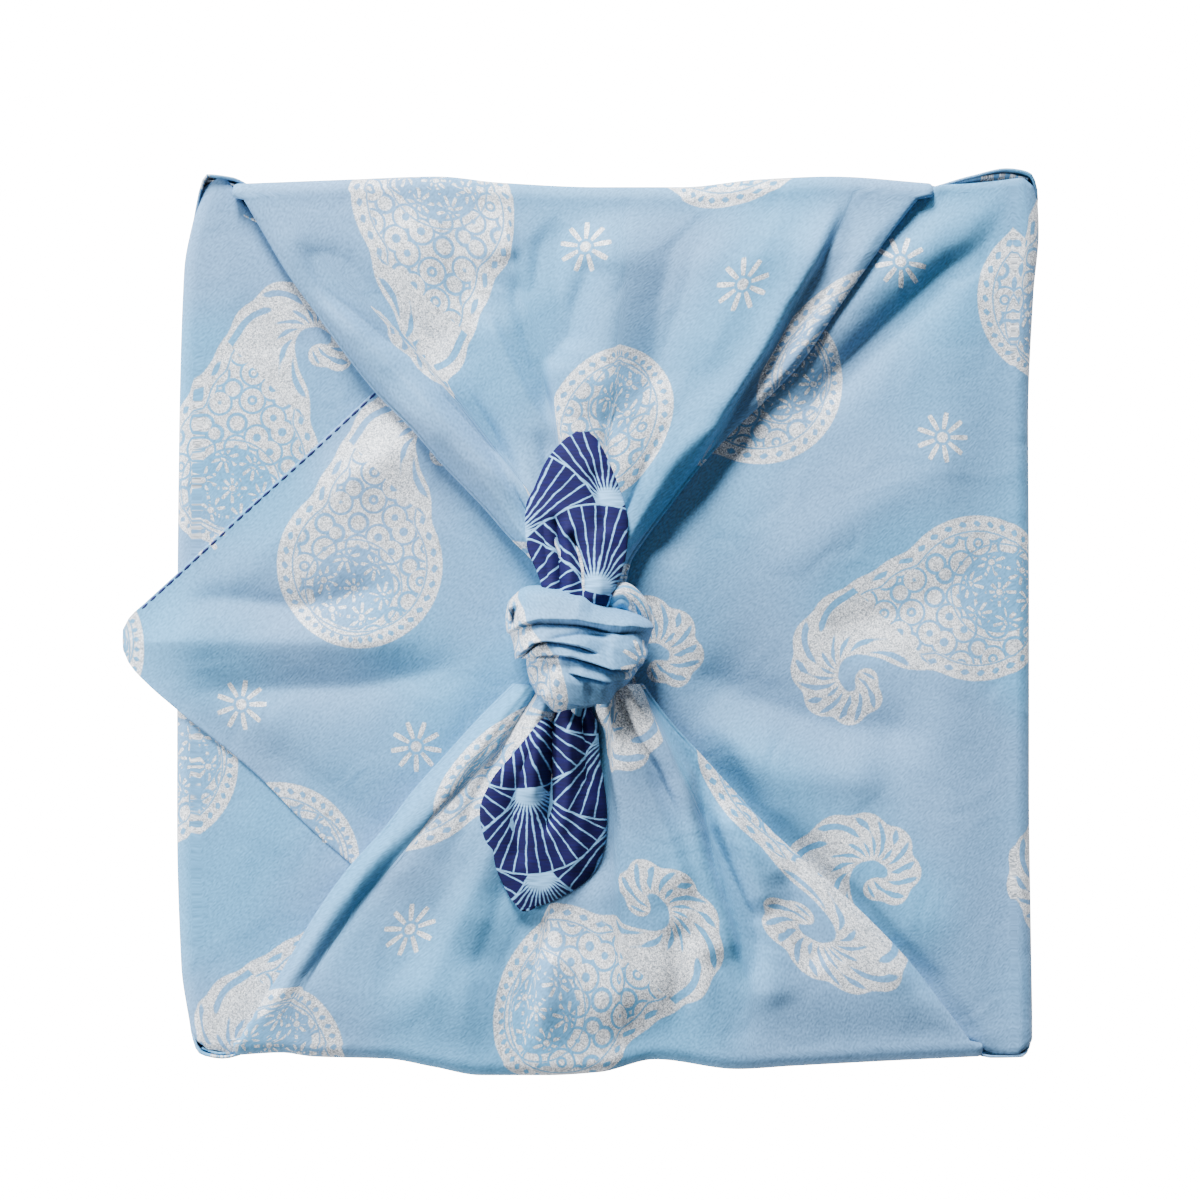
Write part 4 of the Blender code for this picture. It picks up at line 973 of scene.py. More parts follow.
# Each fold is followed from the wall to the knot, so its left width is towards +x.
# left width, right width, lift, points (x, distance)
FAR_FOLDS = (
    (8.0, 3.2, -4.4, ((-104, 129), (-90, 111), (-75, 97), (-62, 89), (-52, 74), (-40, 60), (-26, 44))),
    (5.0, 6.0, 2.4, ((-100, 112), (-72, 84), (-50, 62), (-37, 48), (-26, 34))),
    (1.8, 5.0, 1.6, ((-41, 105), (-29, 80), (-17, 58))),
    (3.0, 4.0, -2.2, ((-31, 118), (-24, 92), (-17, 65))),
    (6.0, 3.6, -3.2, ((-13, 138), (-20, 126), (-21, 110), (-20, 98), (-16, 83))),
    (7.0, 4.0, -1.8, ((-4, 123), (-10, 105), (-13, 90))),
    (0.9, 9.0, 1.5, ((-36, 149), (-33, 134), (-30, 121))),
    (13.0, 12.0, 2.8, ((0, 144), (2, 108), (-2, 66))),
    (8.0, 9.0, -2.3, ((42, 144), (32, 134), (26, 124), (20, 101), (12, 68))),
    (8.0, 8.0, 1.2, ((63, 142), (46, 112), (32, 81))),
    (1.2, 9.0, 2.6, ((86, 150), (80, 142), (70, 119), (61, 105), (53, 90), (42, 73), (25, 44))),
    (6.0, 2.2, -2.6, ((90, 148), (84, 142), (74, 119), (65, 105), (57, 90), (46, 73), (29, 46))),
    (9.0, 9.0, 1.6, ((-70, 146), (-58, 114), (-44, 88))),
    (6.0, 8.0, -1.2, ((-52, 148), (-50, 122), (-44, 104))),
)
NEAR_FOLDS = (
    (3.6, 3.4, 1.2, ((-117, 138), (-98, 108), (-90, 97), (-78, 82), (-60, 58), (-43, 43), (-31, 28))),
    (3.0, 1.6, -0.9, ((-108, 132), (-94, 111), (-83, 96), (-71, 81), (-58, 67), (-47, 56), (-36, 43))),
    (9.0, 8.0, -0.9, ((-78, 134), (-64, 110), (-52, 90), (-41, 74), (-33, 60))),
    (9.0, 9.0, 1.8, ((-66, 138), (-52, 108), (-38, 78), (-30, 60))),
    (7.0, 7.0, -1.3, ((-46, 122), (-36, 96), (-28, 76))),
    (3.0, 8.0, -3.2, ((-30, 150), (-28, 141), (-27, 120), (-22, 106), (-19, 95))),
    (8.0, 3.0, 1.8, ((-22, 147), (-21, 130), (-17, 109))),
    (3.0, 12.0, 2.2, ((29, 96), (23, 77), (15, 58), (8, 37))),
    (2.2, 8.0, 2.7, ((47, 122), (40, 100), (34, 83), (30, 67), (27, 52), (21, 40), (12, 21))),
    (7.0, 3.2, -3.4, ((52, 126), (45, 100), (38, 83), (34, 67), (31, 53), (25, 41))),
    (6.0, 5.0, 2.4, ((55, 100), (48, 79), (39, 62))),
    (7.0, 5.0, -1.6, ((72, 120), (64, 97), (57, 84))),
    (7.0, 4.0, 1.2, ((58, 132), (53, 112), (49, 98))),
    (5.0, 5.0, -2.2, ((25, 151), (25, 133), (26, 116), (25, 100))),
    (6.0, 6.0, -1.8, ((50, 148), (43, 130), (37, 110))),
    (6.0, 6.0, 1.8, ((106, 126), (86, 105), (63, 79))),
    (8.0, 8.0, 1.5, ((-50, 148), (-46, 118), (-38, 92))),
    (9.0, 9.0, 1.5, ((5, 147), (3, 112), (-4, 82))),
)
# Where a pleat hides cloth, the print jumps. share of the hidden cloth, points (x, distance)
FAR_PLEATS = ((0.34, ((-104, 129), (-62, 89), (-26, 44), (-14, 20))),
              (0.22, ((-31, 118), (-20, 90), (-15, 50), (-10, 20))),
              (0.14, ((6, 120), (4, 80), (-4, 30))),
              (0.30, ((88, 148), (55, 90), (27, 45), (2, 18))))
NEAR_PLEATS = ((0.30, ((-108, 132), (-83, 96), (-58, 67), (-36, 43), (-20, 22))),
               (0.25, ((-28, 141), (-19, 95), (-10, 50))),
               (0.15, ((5, 120), (2, 60))),
               (0.30, ((49, 122), (36, 75), (13, 24))))
# Small gathers that deepen towards the knot. share of the arm's width, width, lift
GATHERS = ((0.09, 0.035, 1.8), (0.2, 0.028, -2.6), (0.3, 0.04, 2.4), (0.4, 0.026, -2.8),
           (0.5, 0.045, 2.6), (0.61, 0.026, -3.0), (0.7, 0.04, 2.2), (0.8, 0.028, -2.4),
           (0.9, 0.035, 1.6))
FOLD_DEPTH = 1.55           # the folds stand this many times as high as their tables say
ARM_LOFT = 2.8              # by the edge the arms stand this far off the flap, so folds can sink
ARM_SETTLE = 1.6            # and further in they lose this much of it
ARM_RISE, ARM_CURVE = 8.5, 1.8          # the arms climb this far to the knot, ever faster
ARM_EDGE = 5.0              # an arm's folded side rounds down over this width
ARM_GATHER = 0.42           # and near the knot over this share of the arm's width
ARM_FLOAT = 4.0             # the folded sides leave the flap by this much at the knot
ROLL_START = 142.0          # where the roll over the edge ends and the lid begins, before the waves
EDGE_ROW = 148.0            # the arm's tables are read here for its width over the edge
FOOT_SPREAD = 137.0         # at the foot the arm is as wide as the carton, and runs into the wall
FOOT_HEIGHT = 4.0
WAVE_BASE = 147.0           # where the wall's waves stand further out, the edge is also higher
TURN_UNDER = 1.2            # radius of the fold at the arm's sides
UNDER_WIDTH = 8.0           # and the width of cloth that shows to a low eye under them
UNDER_TURNS = (30, 60, 90, 120, 150, 180)           # degrees round that fold
UNDER_WAYS = (0.3, 0.65, 1.0)           # and steps across the strip
EDGE_LIFT = 0.25            # where the wall stands out, its edge is this share of that higher
ARM_PULL = 0.8              # share of the width that goes into pleats as the arm narrows
PLEAT_JUMP = 3.0            # at a pleat the print jumps over this width
ARM_DRIFT = (48.0, 0.35)    # length and height of the arm's slow waves
ARM_WALL_DRIFT = (50.0, 0.5)            # and of those of its wall
WAVES_UP = 30.0             # the wall's waves grow over this height from its foot
WALL_END = 2.0              # the wall's last row lies this far below the roll
# How soon each thing happens on the way from the edge (0) to the knot (1); 6 is over 1/6 of it
WAVES_RATE = 2.5            # the wall's waves die out
CREST_RATE, FLOAT_WAIT = 3.0, 2.0       # so does their share of the edge's height; then the
                                        # sides lift off
ROUND_RATE, ROUND_WAIT = 2.0, 1.0       # the rounding of the sides widens, from half way on
HELD_RATE = 6.0             # the folds reach their height
SETTLE_RATE = 3.6           # the loft over the edge settles
GATHER_RATE, GATHER_WAIT = 1.9, 0.75    # the gathers deepen, after a wait
ARM_ACROSS = 150
ARM_ROWS, ARM_WALL_ROWS = 130, 16


def turned_under(grid, flat, facing, radius):
    """The grid with a fold and a level strip of cloth under each of its two long sides.

    facing is the way that each row's cloth looks: out from the wall, then up from the lid.
    """
    def side_columns(column, inner, towards):
        edge, edge_flat = grid[:, column], flat[:, column]
        flat_inward = flat[:, inner] - edge_flat
        flat_inward /= np.linalg.norm(flat_inward, axis=1, keepdims=True) + 1e-9
        inward = np.array([towards, 0.0, 0.0])
        columns, flats = [], []
        for turn in UNDER_TURNS:
            spin = math.radians(turn)
            columns.append(edge + radius * (facing * (math.cos(spin) - 1) - inward * math.sin(spin)))
            flats.append(edge_flat - flat_inward * radius * spin)
        under, under_flat = columns[-1], flats[-1]
        for way in UNDER_WAYS:
            columns.append(under + inward * UNDER_WIDTH * way)
            flats.append(under_flat - flat_inward * UNDER_WIDTH * way)
        return columns, flats

    left, left_flat = side_columns(0, 4, 1.0)
    right, right_flat = side_columns(-1, -5, -1.0)
    grid = np.concatenate([np.stack(left[::-1], 1), grid, np.stack(right, 1)], axis=1)
    flat = np.concatenate([np.stack(left_flat[::-1], 1), flat, np.stack(right_flat, 1)], axis=1)
    return grid, flat


def arm(name, side, edges, waves, folds, pleats, end, seed):
    """A gathered corner: up the wall, over the edge and in a fan to the knot.

    side is +1 for the far arm and -1 for the near one, and end is its last distance from the middle.
    """
    share = np.linspace(0.0, 1.0, ARM_ACROSS)
    left, right = curve(edges, EDGE_ROW, 1), curve(edges, EDGE_ROW, 2)
    out_x = left + (right - left) * share
    out_width = right - left
    wall = curve(waves, out_x) - CLOTH / 2
    crest = ARM_REST + 2 * TURN_UNDER + EDGE_LIFT * (wall - WAVE_BASE)
    rows, flats, facing = [], [], []
    for z in np.linspace(FOOT_HEIGHT, ARM_REST - ROLL - WALL_END, ARM_WALL_ROWS):
        up = z / (ARM_REST - ROLL)
        x = (share * 2 - 1) * FOOT_SPREAD * (1 - up) + out_x * up
        swell = smooth((z - FOOT_HEIGHT) / WAVES_UP)
        distance = WALL_FACE + (curve(waves, x) - CLOTH / 2 - WALL_FACE) * swell
        waves_out = np.maximum(0.0, drift(x * 1.6, z * 0.6, seed, *ARM_WALL_DRIFT))
        distance = distance + waves_out * swell * (1 - up)
        rows.append(np.column_stack([x, distance, np.full(ARM_ACROSS, z)]))
        flats.append(np.column_stack([x, np.full(ARM_ACROSS, WALL_FACE + z)]))
        facing.append((0.0, 1.0, 0.0))
    run = WALL_FACE + ARM_REST - ROLL
    for turn in ROLL_TURNS:
        spin = math.radians(turn)
        distance = wall - ROLL * (1 - math.cos(spin))
        rows.append(np.column_stack([out_x, distance, crest - ROLL * (1 - math.sin(spin))]))
        flats.append(np.column_stack([out_x, np.full(ARM_ACROSS, run + ROLL * spin)]))
        facing.append((0.0, math.cos(spin), math.sin(spin)))
    run += ROLL * math.pi / 2
    for way in np.linspace(0.0, 1.0, ARM_ROWS):
        station = ROLL_START + (end - ROLL_START) * way
        distance = station + (wall - ROLL - ROLL_START) * (1 - smooth(way * WAVES_RATE))
        left, right = curve(edges, station, 1), curve(edges, station, 2)
        x = left + (right - left) * share
        inset = np.minimum(x - left, right - x)
        widening = smooth(way * ROUND_RATE - ROUND_WAIT)
        rounding = ARM_EDGE + (ARM_GATHER * (right - left) - ARM_EDGE) * widening
        round_off = np.sqrt(1 - (1 - np.clip(inset / rounding, 0.0, 1.0)) ** 2)
        held = smooth(way * HELD_RATE)
        gathers = sum(tall * np.exp(-((share - at) / wide) ** 2) for at, wide, tall in GATHERS)
        lift = (ARM_LOFT - ARM_SETTLE * smooth(way * SETTLE_RATE)) * held
        lift = lift + ARM_RISE * way ** ARM_CURVE
        lift = lift + held * FOLD_DEPTH * fold_lift(x, distance, folds)
        lift = lift + gathers * smooth(way * GATHER_RATE - GATHER_WAIT)
        lift = lift + drift(x, distance, seed, *ARM_DRIFT) * held
        low = over_height(x, side * distance) + CLOTH + LAYER_GAP + 2 * TURN_UNDER
        low = low + (crest - ARM_REST - 2 * TURN_UNDER) * (1 - smooth(way * CREST_RATE))
        low = low + ARM_FLOAT * smooth(way * CREST_RATE - FLOAT_WAIT)
        rows.append(np.column_stack([x, distance, low + np.maximum(lift, 0.0) * round_off]))
        hidden = (out_width - (right - left)) * ARM_PULL
        flat_x = x.copy()
        for part, line in pleats:
            place = np.interp(station, [p[1] for p in line][::-1], [p[0] for p in line][::-1])
            flat_x += part * hidden * (2 * smooth((x - place) / PLEAT_JUMP + 0.5) - 1) / 2
        flats.append(np.column_stack([flat_x, np.full(ARM_ACROSS, run + ROLL_START - station)]))
        facing.append((0.0, 0.0, 1.0))
    grid, flat = turned_under(np.array(rows), np.array(flats), np.array(facing), TURN_UNDER)
    grid[:, :, 1] *= side
    flat[:, :, 1] *= side
    return sheet(name, grid, flat)


far_arm = arm("cloth_far_arm", 1, FAR_ARM, FAR_WAVES, FAR_FOLDS, FAR_PLEATS, end=5.0, seed=31)
near_arm = arm("cloth_near_arm", -1, NEAR_ARM, NEAR_WAVES, NEAR_FOLDS, NEAR_PLEATS, end=22.0,
               seed=37)
for piece in (far_arm, near_arm):
    for material in (printed_cotton, navy_cotton):
        piece.data.materials.append(material)
    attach(piece, "root")
    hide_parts("wrap_cloth")

# --- Knot ----------------------------------------------------------------------------------------
# A square knot: the two arms wrap round each other in broad smooth bands that lie over each other
# with thin deep creases between them, all pulled tight into one firm bundle.

KNOT_MIDDLE = (-8.5, -11.0)
KNOT_LEVEL = 60.0           # height of its widest place
KNOT_TOP, KNOT_BOTTOM = 15.0, 10.0      # it stands this far above and below that
KNOT_SQUARE = 0.72          # 1 is a ball, less is fuller at the sides
# The outline of the bundle from above, clockwise from its left loop. x, y
KNOT_OUTLINE = (
    (-33.0, 2.0), (-32.0, 6.0), (-28.0, 9.4), (-22.4, 10.6), (-16.3, 10.2), (-8.5, 7.8), (1.0, 4.8),
    (8.5, 1.6), (15.6, -2.8), (15.0, -6.4), (14.0, -9.5), (13.2, -13.5), (9.5, -19.0),
    (4.8, -24.2), (-0.7, -27.8), (-6.8, -30.0), (-12.0, -31.0), (-17.6, -30.8), (-21.0, -29.0),
    (-22.4, -25.5), (-24.2, -22.6), (-25.6, -18.0), (-26.6, -13.0), (-29.2, -8.5), (-32.2, -3.0),
)
# Followed from left to right, so the left width is on the far side.
# left width, right width, lift, points (x, y)
KNOT_CREASES = (
    (5.0, 0.35, 3.0, ((-34, -5), (-29, -3), (-26, -1.4), (-21, -0.5), (-15, -0.7), (-9, -1.2), (-2, -2.4),
                      (5, -3.7), (12, -3.6), (18, -2.6))),
    (0.3, 0.5, -4.0, ((-29, -3.7), (-26, -2.0), (-21, -1.1), (-15, -1.3), (-9, -1.8), (-2, -3.0),
                      (5, -4.3), (14, -3.8))),
    (5.0, 0.35, 2.6, ((-30, -14), (-27, -11.5), (-22.4, -7.2), (-19, -6.9), (-14, -7.5), (-8.5, -8.6),
                      (-2, -11.0))),
    (0.3, 0.45, -3.6, ((-27.4, -12.4), (-22.4, -7.8), (-19, -7.5), (-14, -8.1), (-8.5, -9.2),
                       (-2.2, -11.4))),
    (1.2, 1.2, -1.6, ((-19, -6.6), (-14, -6.0), (-8.5, -5.1), (-2.5, -4.9), (3, -5.2))),
    (6.0, 0.35, 3.2, ((-32, -14), (-27.2, -12.9), (-24, -11.6), (-16, -11.5), (-10.7, -12.2),
                      (-4.4, -14.0), (1.4, -15.8), (7, -15.0), (11.2, -12.6), (13.2, -9.4), (15, -6))),
    (0.3, 0.5, -4.4, ((-27.2, -13.5), (-24, -12.2), (-16, -12.1), (-10.7, -12.8), (-4.4, -14.6),
                      (1.4, -16.4), (7, -15.6), (11.6, -13.0))),
    (0.4, 0.5, -2.0, ((1.4, -16.2), (6.5, -17.5), (9.5, -17.4), (12, -15.2))),
    (2.5, 2.0, -1.6, ((-25, -16.3), (-20, -14.1), (-14.3, -13.3))),
    (4.0, 0.35, 2.2, ((-12, -17.2), (-6, -18.6), (0.5, -19.8), (6, -18.8), (10.5, -15.8))),
    (0.3, 0.5, -2.8, ((-12, -17.8), (-6, -19.2), (0.5, -20.4), (6, -19.4))),
    (3.0, 3.0, -1.4, ((-7.6, -22.6), (-0.7, -22.7), (6, -21.4))),
    (4.0, 0.5, 1.9, ((-24, -24.6), (-17, -25.4), (-14, -26.4), (-7.6, -27.2), (-0.7, -26.4), (4, -25))),
    (0.4, 0.6, -2.4, ((-22, -25.3), (-17, -26.1), (-14, -27.0), (-7.6, -27.8), (-0.7, -27.0))),
    (4.0, 4.0, 2.4, ((-30, 7), (-18, 6), (-4, 3))),
    (4.0, 4.0, 1.8, ((0, -9.5), (6, -9.5), (12, -7))),
    (5.0, 5.0, 2.0, ((-20, -19), (-8, -21), (4, -20))),
)
# The open eye of the left loop, as a pit straight down.
KNOT_EYE = ((1.2, 1.2, 8.0, ((-30.3, 4.2), (-29.9, 1.4), (-29.3, -2.2))),)
KNOT_PRINT = (72.0, -12.0)  # the print on the bundle is that of the arm this far away
KNOT_REACH = 22.0           # its radius from above, near enough to space the rings
KNOT_SPREAD = 0.7           # each mm down its side takes this much of the print
KNOT_DRIFT = (41, 16.0, 0.18)           # seed, length and height of its slow unevenness
CREASES_FROM, CREASES_OVER = -5.0, 7.0  # the creases begin here from its widest place, and grow
KNOT_ROUND = 540            # points round the bundle
KNOT_OVER, KNOT_UNDER = 140, 24         # rings above and below its widest place
DIP_STEPS = 2000            # steps to measure the way down its side


def knot_bundle():
    """A full cushion on the knot's outline, with its bands and creases laid over it."""
    outline = np.array(KNOT_OUTLINE) - KNOT_MIDDLE
    angle = np.unwrap(np.arctan2(outline[:, 1], outline[:, 0]))[::-1]
    radius = np.hypot(outline[:, 0], outline[:, 1])[::-1]
    angle = np.concatenate([angle[-3:] - math.tau, angle, angle[:3] + math.tau])
    radius = np.concatenate([radius[-3:], radius, radius[:3]])
    turn = angle[3] + np.linspace(0, math.tau, KNOT_ROUND, endpoint=False)
    reach = curve(np.column_stack([angle, radius]), turn)
    # Rings from the pole on top, down over the side, to the pole below, evenly spaced on the cloth.
    dip = np.linspace(0, math.pi / 2, DIP_STEPS)
    run = np.hypot(np.gradient(KNOT_REACH * np.sin(dip) ** KNOT_SQUARE),
                   np.gradient(KNOT_TOP * np.cos(dip) ** KNOT_SQUARE)).cumsum()
    over = np.interp(np.linspace(0, 1, KNOT_OVER), (run - run[0]) / (run[-1] - run[0]), dip)
    dip = np.concatenate([over[1:], np.linspace(math.pi / 2, math.pi, KNOT_UNDER)[1:-1]])
    out = np.sin(dip) ** KNOT_SQUARE
    up = np.sign(np.cos(dip)) * np.abs(np.cos(dip)) ** KNOT_SQUARE
    height = np.where(up > 0, KNOT_TOP, KNOT_BOTTOM) * up + KNOT_LEVEL
    x = KNOT_MIDDLE[0] + out[:, None] * reach * np.cos(turn)
    y = KNOT_MIDDLE[1] + out[:, None] * reach * np.sin(turn)
    grid = np.stack([x, y, np.broadcast_to(height[:, None], x.shape)], axis=2)
    around = np.roll(grid, -1, axis=1) - np.roll(grid, 1, axis=1)
    normal = np.cross(np.gradient(grid, axis=0), around)
    normal /= np.linalg.norm(normal, axis=2, keepdims=True) + 1e-12
    if normal[KNOT_OVER // 2, :, 2].mean() < 0:
        normal = -normal
    upper = smooth((height - KNOT_LEVEL - CREASES_FROM) / CREASES_OVER)[:, None]
    lift = fold_lift(x, y, KNOT_CREASES) * upper + drift(x, y, *KNOT_DRIFT)
    grid = grid + normal * lift[:, :, None]
    grid[:, :, 2] -= fold_lift(x, y, KNOT_EYE) * upper
    spread = (KNOT_LEVEL + KNOT_TOP - height)[:, None] * KNOT_SPREAD
    flat = np.stack([x + np.cos(turn) * spread, y + np.sin(turn) * spread], axis=2) + KNOT_PRINT
    ends = [(*KNOT_MIDDLE, ring[:, 2].mean()) for ring in (grid[0], grid[-1])]
    return ring_skin("cloth_knot", grid, flat, ends, [np.add(KNOT_MIDDLE, KNOT_PRINT)] * 2)


knot = knot_bundle()

# The lobe of an arm that looks out behind the knot on its far right side.
# distance along, x, y, z, half width, half height
LOBE = ((0.0, -2.0, 3.0, 60.0, 3.0, 4.0), (4.0, 2.0, 6.0, 62.0, 4.6, 5.0),
        (8.0, 5.5, 7.8, 63.5, 4.8, 4.6), (12.0, 9.0, 5.6, 62.5, 4.4, 4.4),
        (16.0, 12.0, 1.8, 61.0, 3.4, 4.0), (20.0, 14.6, -3.0, 59.5, 1.6, 2.4))
LOBE_SIDES, LOBE_RINGS = 40, 60
LOBE_RADIUS = 5.0           # round it, the print is laid out for this radius
LOBE_CREASE = (0.16, 0.2, 0.16)         # how deep, where across the lobe and how wide


def back_lobe():
    """A short swelling tube along the lobe's path, with one crease on top."""
    at = np.linspace(LOBE[0][0], LOBE[-1][0], LOBE_RINGS)
    path = np.column_stack([curve(LOBE, at, column) for column in range(1, 6)])
    middle, half_width, half_height = path[:, :3], path[:, 3], path[:, 4]
    run = np.gradient(middle, axis=0)
    run /= np.linalg.norm(run, axis=1, keepdims=True)
    wide = np.cross(run, [0.0, 0.0, 1.0])
    wide /= np.linalg.norm(wide, axis=1, keepdims=True)
    tall = np.cross(wide, run)
    turn = math.tau * np.arange(LOBE_SIDES) / LOBE_SIDES
    deep, across, width = LOBE_CREASE
    round_off = 1 - deep * np.exp(-((np.cos(turn) - across) / width) ** 2) * (np.sin(turn) > 0)
    wide, tall = wide * half_width[:, None], tall * half_height[:, None]
    grid = (middle[:, None] + (np.cos(turn) * round_off)[None, :, None] * wide[:, None]
            + (np.sin(turn) * round_off)[None, :, None] * tall[:, None])
    flat = np.stack(np.broadcast_arrays(at[:, None], LOBE_RADIUS * turn[None, :]), axis=2)
    return ring_skin("cloth_knot_lobe", grid, flat, middle[[0, -1]], [flat[0, 0], flat[-1, -1]])


lobe = back_lobe()
for piece in (knot, lobe):
    piece.data.materials.append(printed_cotton)
    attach(piece, "root")
    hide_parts("wrap_cloth")

# --- Free ends -----------------------------------------------------------------------------------
# The tips of the far and near corners, pulled through the knot so that the navy reverse shows.
# Each is a soft leaf with its edges rolled under and one deep fold from the knot.

# distance from the knot's middle, left x, right x, height of the middle surface
UPPER_TAIL = ((1.0, -18.0, 0.0, 66.0), (8.0, -19.6, 1.6, 69.0), (15.6, -22.0, 4.8, 68.0),
              (24.5, -25.5, 6.8, 66.0), (32.6, -26.2, 7.1, 64.5), (38.0, -25.8, 6.1, 63.5),
              (44.0, -23.1, 4.1, 62.5), (53.0, -19.0, 0.5, 61.0), (59.5, -13.6, -2.9, 59.8),
              (61.6, -11.0, -4.6, 59.4), (62.6, -9.2, -5.8, 59.2))
LOWER_TAIL = ((24.0, -19.0, -6.0, 63.0), (30.3, -21.1, -5.1, 66.0), (35.4, -22.8, -3.1, 66.5),
              (46.2, -30.9, -2.4, 65.0), (54.1, -37.4, -1.0, 63.5), (64.9, -41.5, 0.0, 61.5),
              (72.8, -40.1, -0.3, 60.5), (81.6, -37.1, -2.4, 59.0), (86.7, -34.7, -5.8, 58.3),
              (91.1, -32.6, -11.9, 57.8), (94.5, -30.8, -18.7, 57.2), (96.4, -29.0, -23.6, 56.9),
              (97.8, -27.2, -26.4, 56.7))
# left width, right width, lift, points (x, distance)
UPPER_CREASES = (
    (2.6, 1.6, -4.0, ((-17.0, 36), (-16.0, 28), (-15.4, 19), (-15.0, 6))),
    (1.8, 2.4, -3.5, ((-11.8, 30), (-9.6, 24), (-7.4, 17), (-6.8, 6))),
    (2.0, 2.0, 1.6, ((-13.4, 34), (-12.6, 22), (-11.4, 8))),
    (3.0, 3.0, -2.0, ((-4, 52), (-2, 40), (0, 28))),
    (2.6, 2.6, 1.4, ((-2, 30), (-1.6, 18), (-1.4, 6))),
    (3.0, 2.0, -1.6, ((-21, 36), (-20, 24), (-18.6, 10))),
)
LOWER_CREASES = (
    (2.2, 1.9, -7.0, ((-15, 24), (-17.6, 34), (-17.8, 52), (-18.2, 62), (-20.4, 73))),
    (3.0, 4.0, -2.4, ((-28, 84), (-31, 66), (-28, 50))),
    (2.0, 3.4, 1.8, ((-12.6, 28), (-11.6, 42), (-12.4, 60), (-15, 74))),
    (2.4, 2.0, -2.0, ((-9, 28), (-6.8, 42), (-6.4, 58))),
    (3.4, 2.0, 1.6, ((-21.4, 34), (-23.4, 48), (-24.4, 62))),
    (1.6, 1.6, -1.4, ((-24.2, 42), (-28.6, 52))),
    (4.0, 4.0, 1.6, ((-12, 86), (-8, 70), (-4, 58))),
)
TAIL_SWELL = 3.0            # the two lobes beside the fold stand this much higher
TAIL_WIDE = 24.0            # where the end is this wide; they are lower where it is narrower
TAIL_SINK = 0.6             # and its edges lie lower by this share of them
TAIL_DRIFT = (22.0, 0.3)    # length and height of its slow unevenness
TAIL_THICK = 1.6
TAIL_ROWS, TAIL_ACROSS = 110, 80


def free_end(name, side, outline, creases, seed):
    """A leaf of cloth that swells beside its fold. side is +1 for the far one."""
    table = np.array(outline)
    share = np.linspace(0.0, 1.0, TAIL_ACROSS)
    rows = []
    for distance in np.linspace(table[0, 0], table[-1, 0], TAIL_ROWS):
        left, right = curve(outline, distance, 1), curve(outline, distance, 2)
        x = left + (right - left) * share
        dome = np.sqrt(np.clip(1 - (2 * share - 1) ** 2, 0.0, 1.0))
        swell = TAIL_SWELL * smooth((right - left) / TAIL_WIDE)
        z = curve(outline, distance, 3) + swell * (dome - TAIL_SINK)
        along = np.full(TAIL_ACROSS, distance)
        folds = fold_lift(x, along, creases) + drift(x, along, seed, *TAIL_DRIFT)
        z = z + folds * dome ** 0.5
        rows.append(np.column_stack([x, along, z]))
    grid = np.array(rows)
    flat = grid[:, :, :2].copy()
    grid[:, :, 1] *= side
    return sheet(name, grid, flat, TAIL_THICK)


upper_end = free_end("cloth_upper_end", 1, UPPER_TAIL, UPPER_CREASES, seed=51)
lower_end = free_end("cloth_lower_end", -1, LOWER_TAIL, LOWER_CREASES, seed=53)
for piece, length in ((upper_end, 0.062), (lower_end, 0.073)):
    for material in (navy_cotton, printed_cotton):
        piece.data.materials.append(material)
    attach(piece, "root")
    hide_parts("wrap_cloth")

# --- Hem stitches --------------------------------------------------------------------------------
# The two faces of the cloth are sewn together all round with navy thread. The stitches show as a
# thin broken line along the upper edge of the right flap.

STITCH_PITCH = 4.0          # mm
STITCH = (3.3, 0.8, 0.45)   # length, width and height of a stitch, mm
HEM_START, HEM_END = -157.0, -76.0      # x of the first and the last stitch that shows
HEM_INSET = 0.55            # mm from the edge
HEM_POINTS = 120
STITCH_PROUD = 0.2          # the thread's middle is this share of its height above the cloth
TWIST = 900.0               # bands of the thread's twist in a metre

# Polyester sewing thread: smooth twisted fibres, so it has a low soft shine. The twist shows as
# fine slanting bands.
navy_thread, tree, shader = new_material("navy_sewing_thread")
where = add(tree, "ShaderNodeTexCoord")
twist = add(tree, "ShaderNodeTexWave", {"wave_type": "BANDS", "bands_direction": "DIAGONAL"},
            (("Vector", where.outputs["Object"]), ("Scale", TWIST), ("Distortion", 1.0)))
shade = add(tree, "ShaderNodeMix", {"data_type": "RGBA"},
            (("Factor", twist.outputs["Fac"]), ("A", linear("#0D0F45")), ("B", linear("#1B2068"))))
tree.links.new(shade.outputs["Result"], shader.inputs["Base Color"])
shader.inputs["Roughness"].default_value = 0.5

hem_x = np.linspace(HEM_START, HEM_END, HEM_POINTS)
slope = np.gradient(curve(OVER_EDGES, hem_x, 1), hem_x)
hem_y = curve(OVER_EDGES, hem_x, 1) - HEM_INSET * np.sqrt(1 + slope ** 2)
hem_z = over_height(hem_x, hem_y) + CLOTH / 2 + STITCH[2] * STITCH_PROUD
path = bpy.data.meshes.new("hem_stitches")
path.from_pydata([tuple(p) for p in np.column_stack([hem_x, hem_y, hem_z]) * MM + MIDDLE],
                 [(i, i + 1) for i in range(len(hem_x) - 1)], [])
stitches = bpy.data.objects.new("hem_stitches", path)
bpy.context.scene.collection.objects.link(stitches)

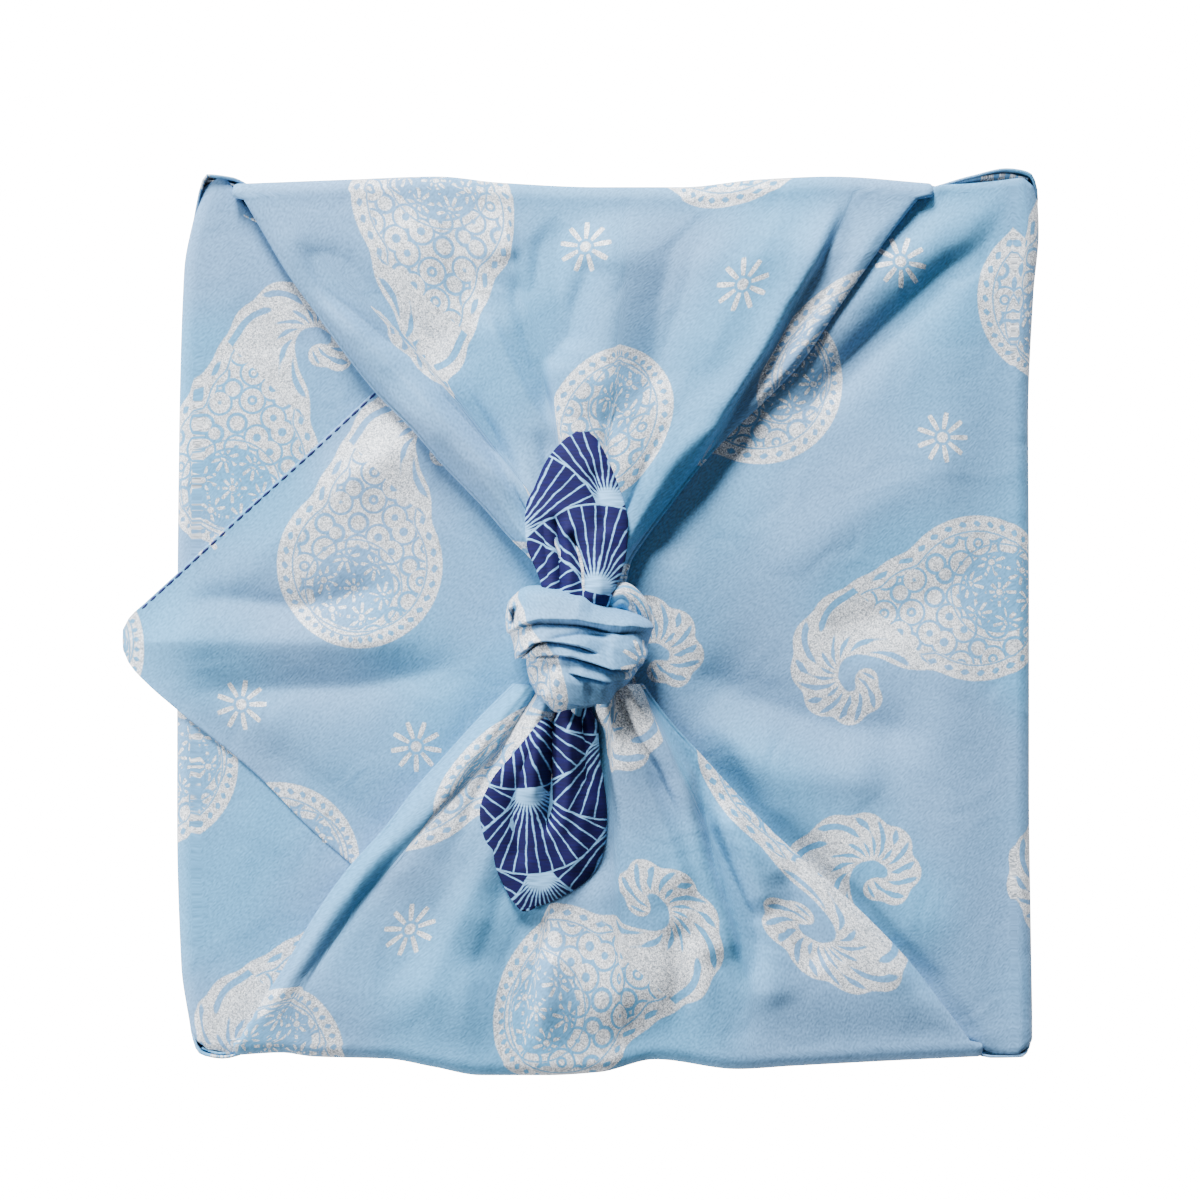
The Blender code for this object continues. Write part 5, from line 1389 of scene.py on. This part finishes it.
sewing = bpy.data.node_groups.new("running_stitch", "GeometryNodeTree")
sewing.interface.new_socket("Geometry", in_out="OUTPUT", socket_type="NodeSocketGeometry")
sewing.interface.new_socket("Geometry", in_out="INPUT", socket_type="NodeSocketGeometry")
pitch_socket = sewing.interface.new_socket("Pitch", in_out="INPUT", socket_type="NodeSocketFloat")
size_socket = sewing.interface.new_socket("Stitch Size", in_out="INPUT",
                                          socket_type="NodeSocketVector")
thread_socket = sewing.interface.new_socket("Thread", in_out="INPUT",
                                            socket_type="NodeSocketMaterial")
given = add(sewing, "NodeGroupInput")
line = add(sewing, "GeometryNodeMeshToCurve", {}, (("Mesh", given.outputs["Geometry"]),))
evenly = add(sewing, "GeometryNodeResampleCurve", {"mode": "LENGTH"},
             (("Curve", line.outputs["Curve"]), ("Length", given.outputs["Pitch"])))
tangent = add(sewing, "GeometryNodeInputTangent")
along = add(sewing, "FunctionNodeAlignRotationToVector", {"axis": "X"},
            (("Vector", tangent.outputs["Tangent"]),))
bead = add(sewing, "GeometryNodeMeshIcoSphere", {}, (("Radius", 0.5), ("Subdivisions", 2)))
uneven = add(sewing, "FunctionNodeRandomValue", {"data_type": "FLOAT_VECTOR"},
             ((0, (0.72, 0.9, 0.9)), (1, (1.2, 1.1, 1.1)), ("Seed", 7)))
size = add(sewing, "ShaderNodeVectorMath", {"operation": "MULTIPLY"},
           ((0, given.outputs["Stitch Size"]), (1, uneven.outputs[0])))
copies = add(sewing, "GeometryNodeInstanceOnPoints", {},
             (("Points", evenly.outputs["Curve"]), ("Instance", bead.outputs["Mesh"]),
              ("Rotation", along.outputs["Rotation"]), ("Scale", size.outputs["Vector"])))
joined = add(sewing, "GeometryNodeRealizeInstances", {},
             (("Geometry", copies.outputs["Instances"]),))
finished = add(sewing, "GeometryNodeSetMaterial", {}, (("Geometry", joined.outputs["Geometry"]),
                                                      ("Material", given.outputs["Thread"])))
add(sewing, "NodeGroupOutput", {}, (("Geometry", finished.outputs["Geometry"]),))
needle = stitches.modifiers.new("running_stitch", "NODES")
needle.node_group = sewing
needle[pitch_socket.identifier] = STITCH_PITCH * MM
needle[size_socket.identifier] = [side * MM for side in STITCH]
needle[thread_socket.identifier] = navy_thread
bpy.context.view_layer.update()
stitches.data = bpy.data.meshes.new_from_object(
    stitches.evaluated_get(bpy.context.evaluated_depsgraph_get()))
stitches.modifiers.clear()
stitches.data.polygons.foreach_set("use_smooth", np.ones(len(stitches.data.polygons), bool))
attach(stitches, "root")
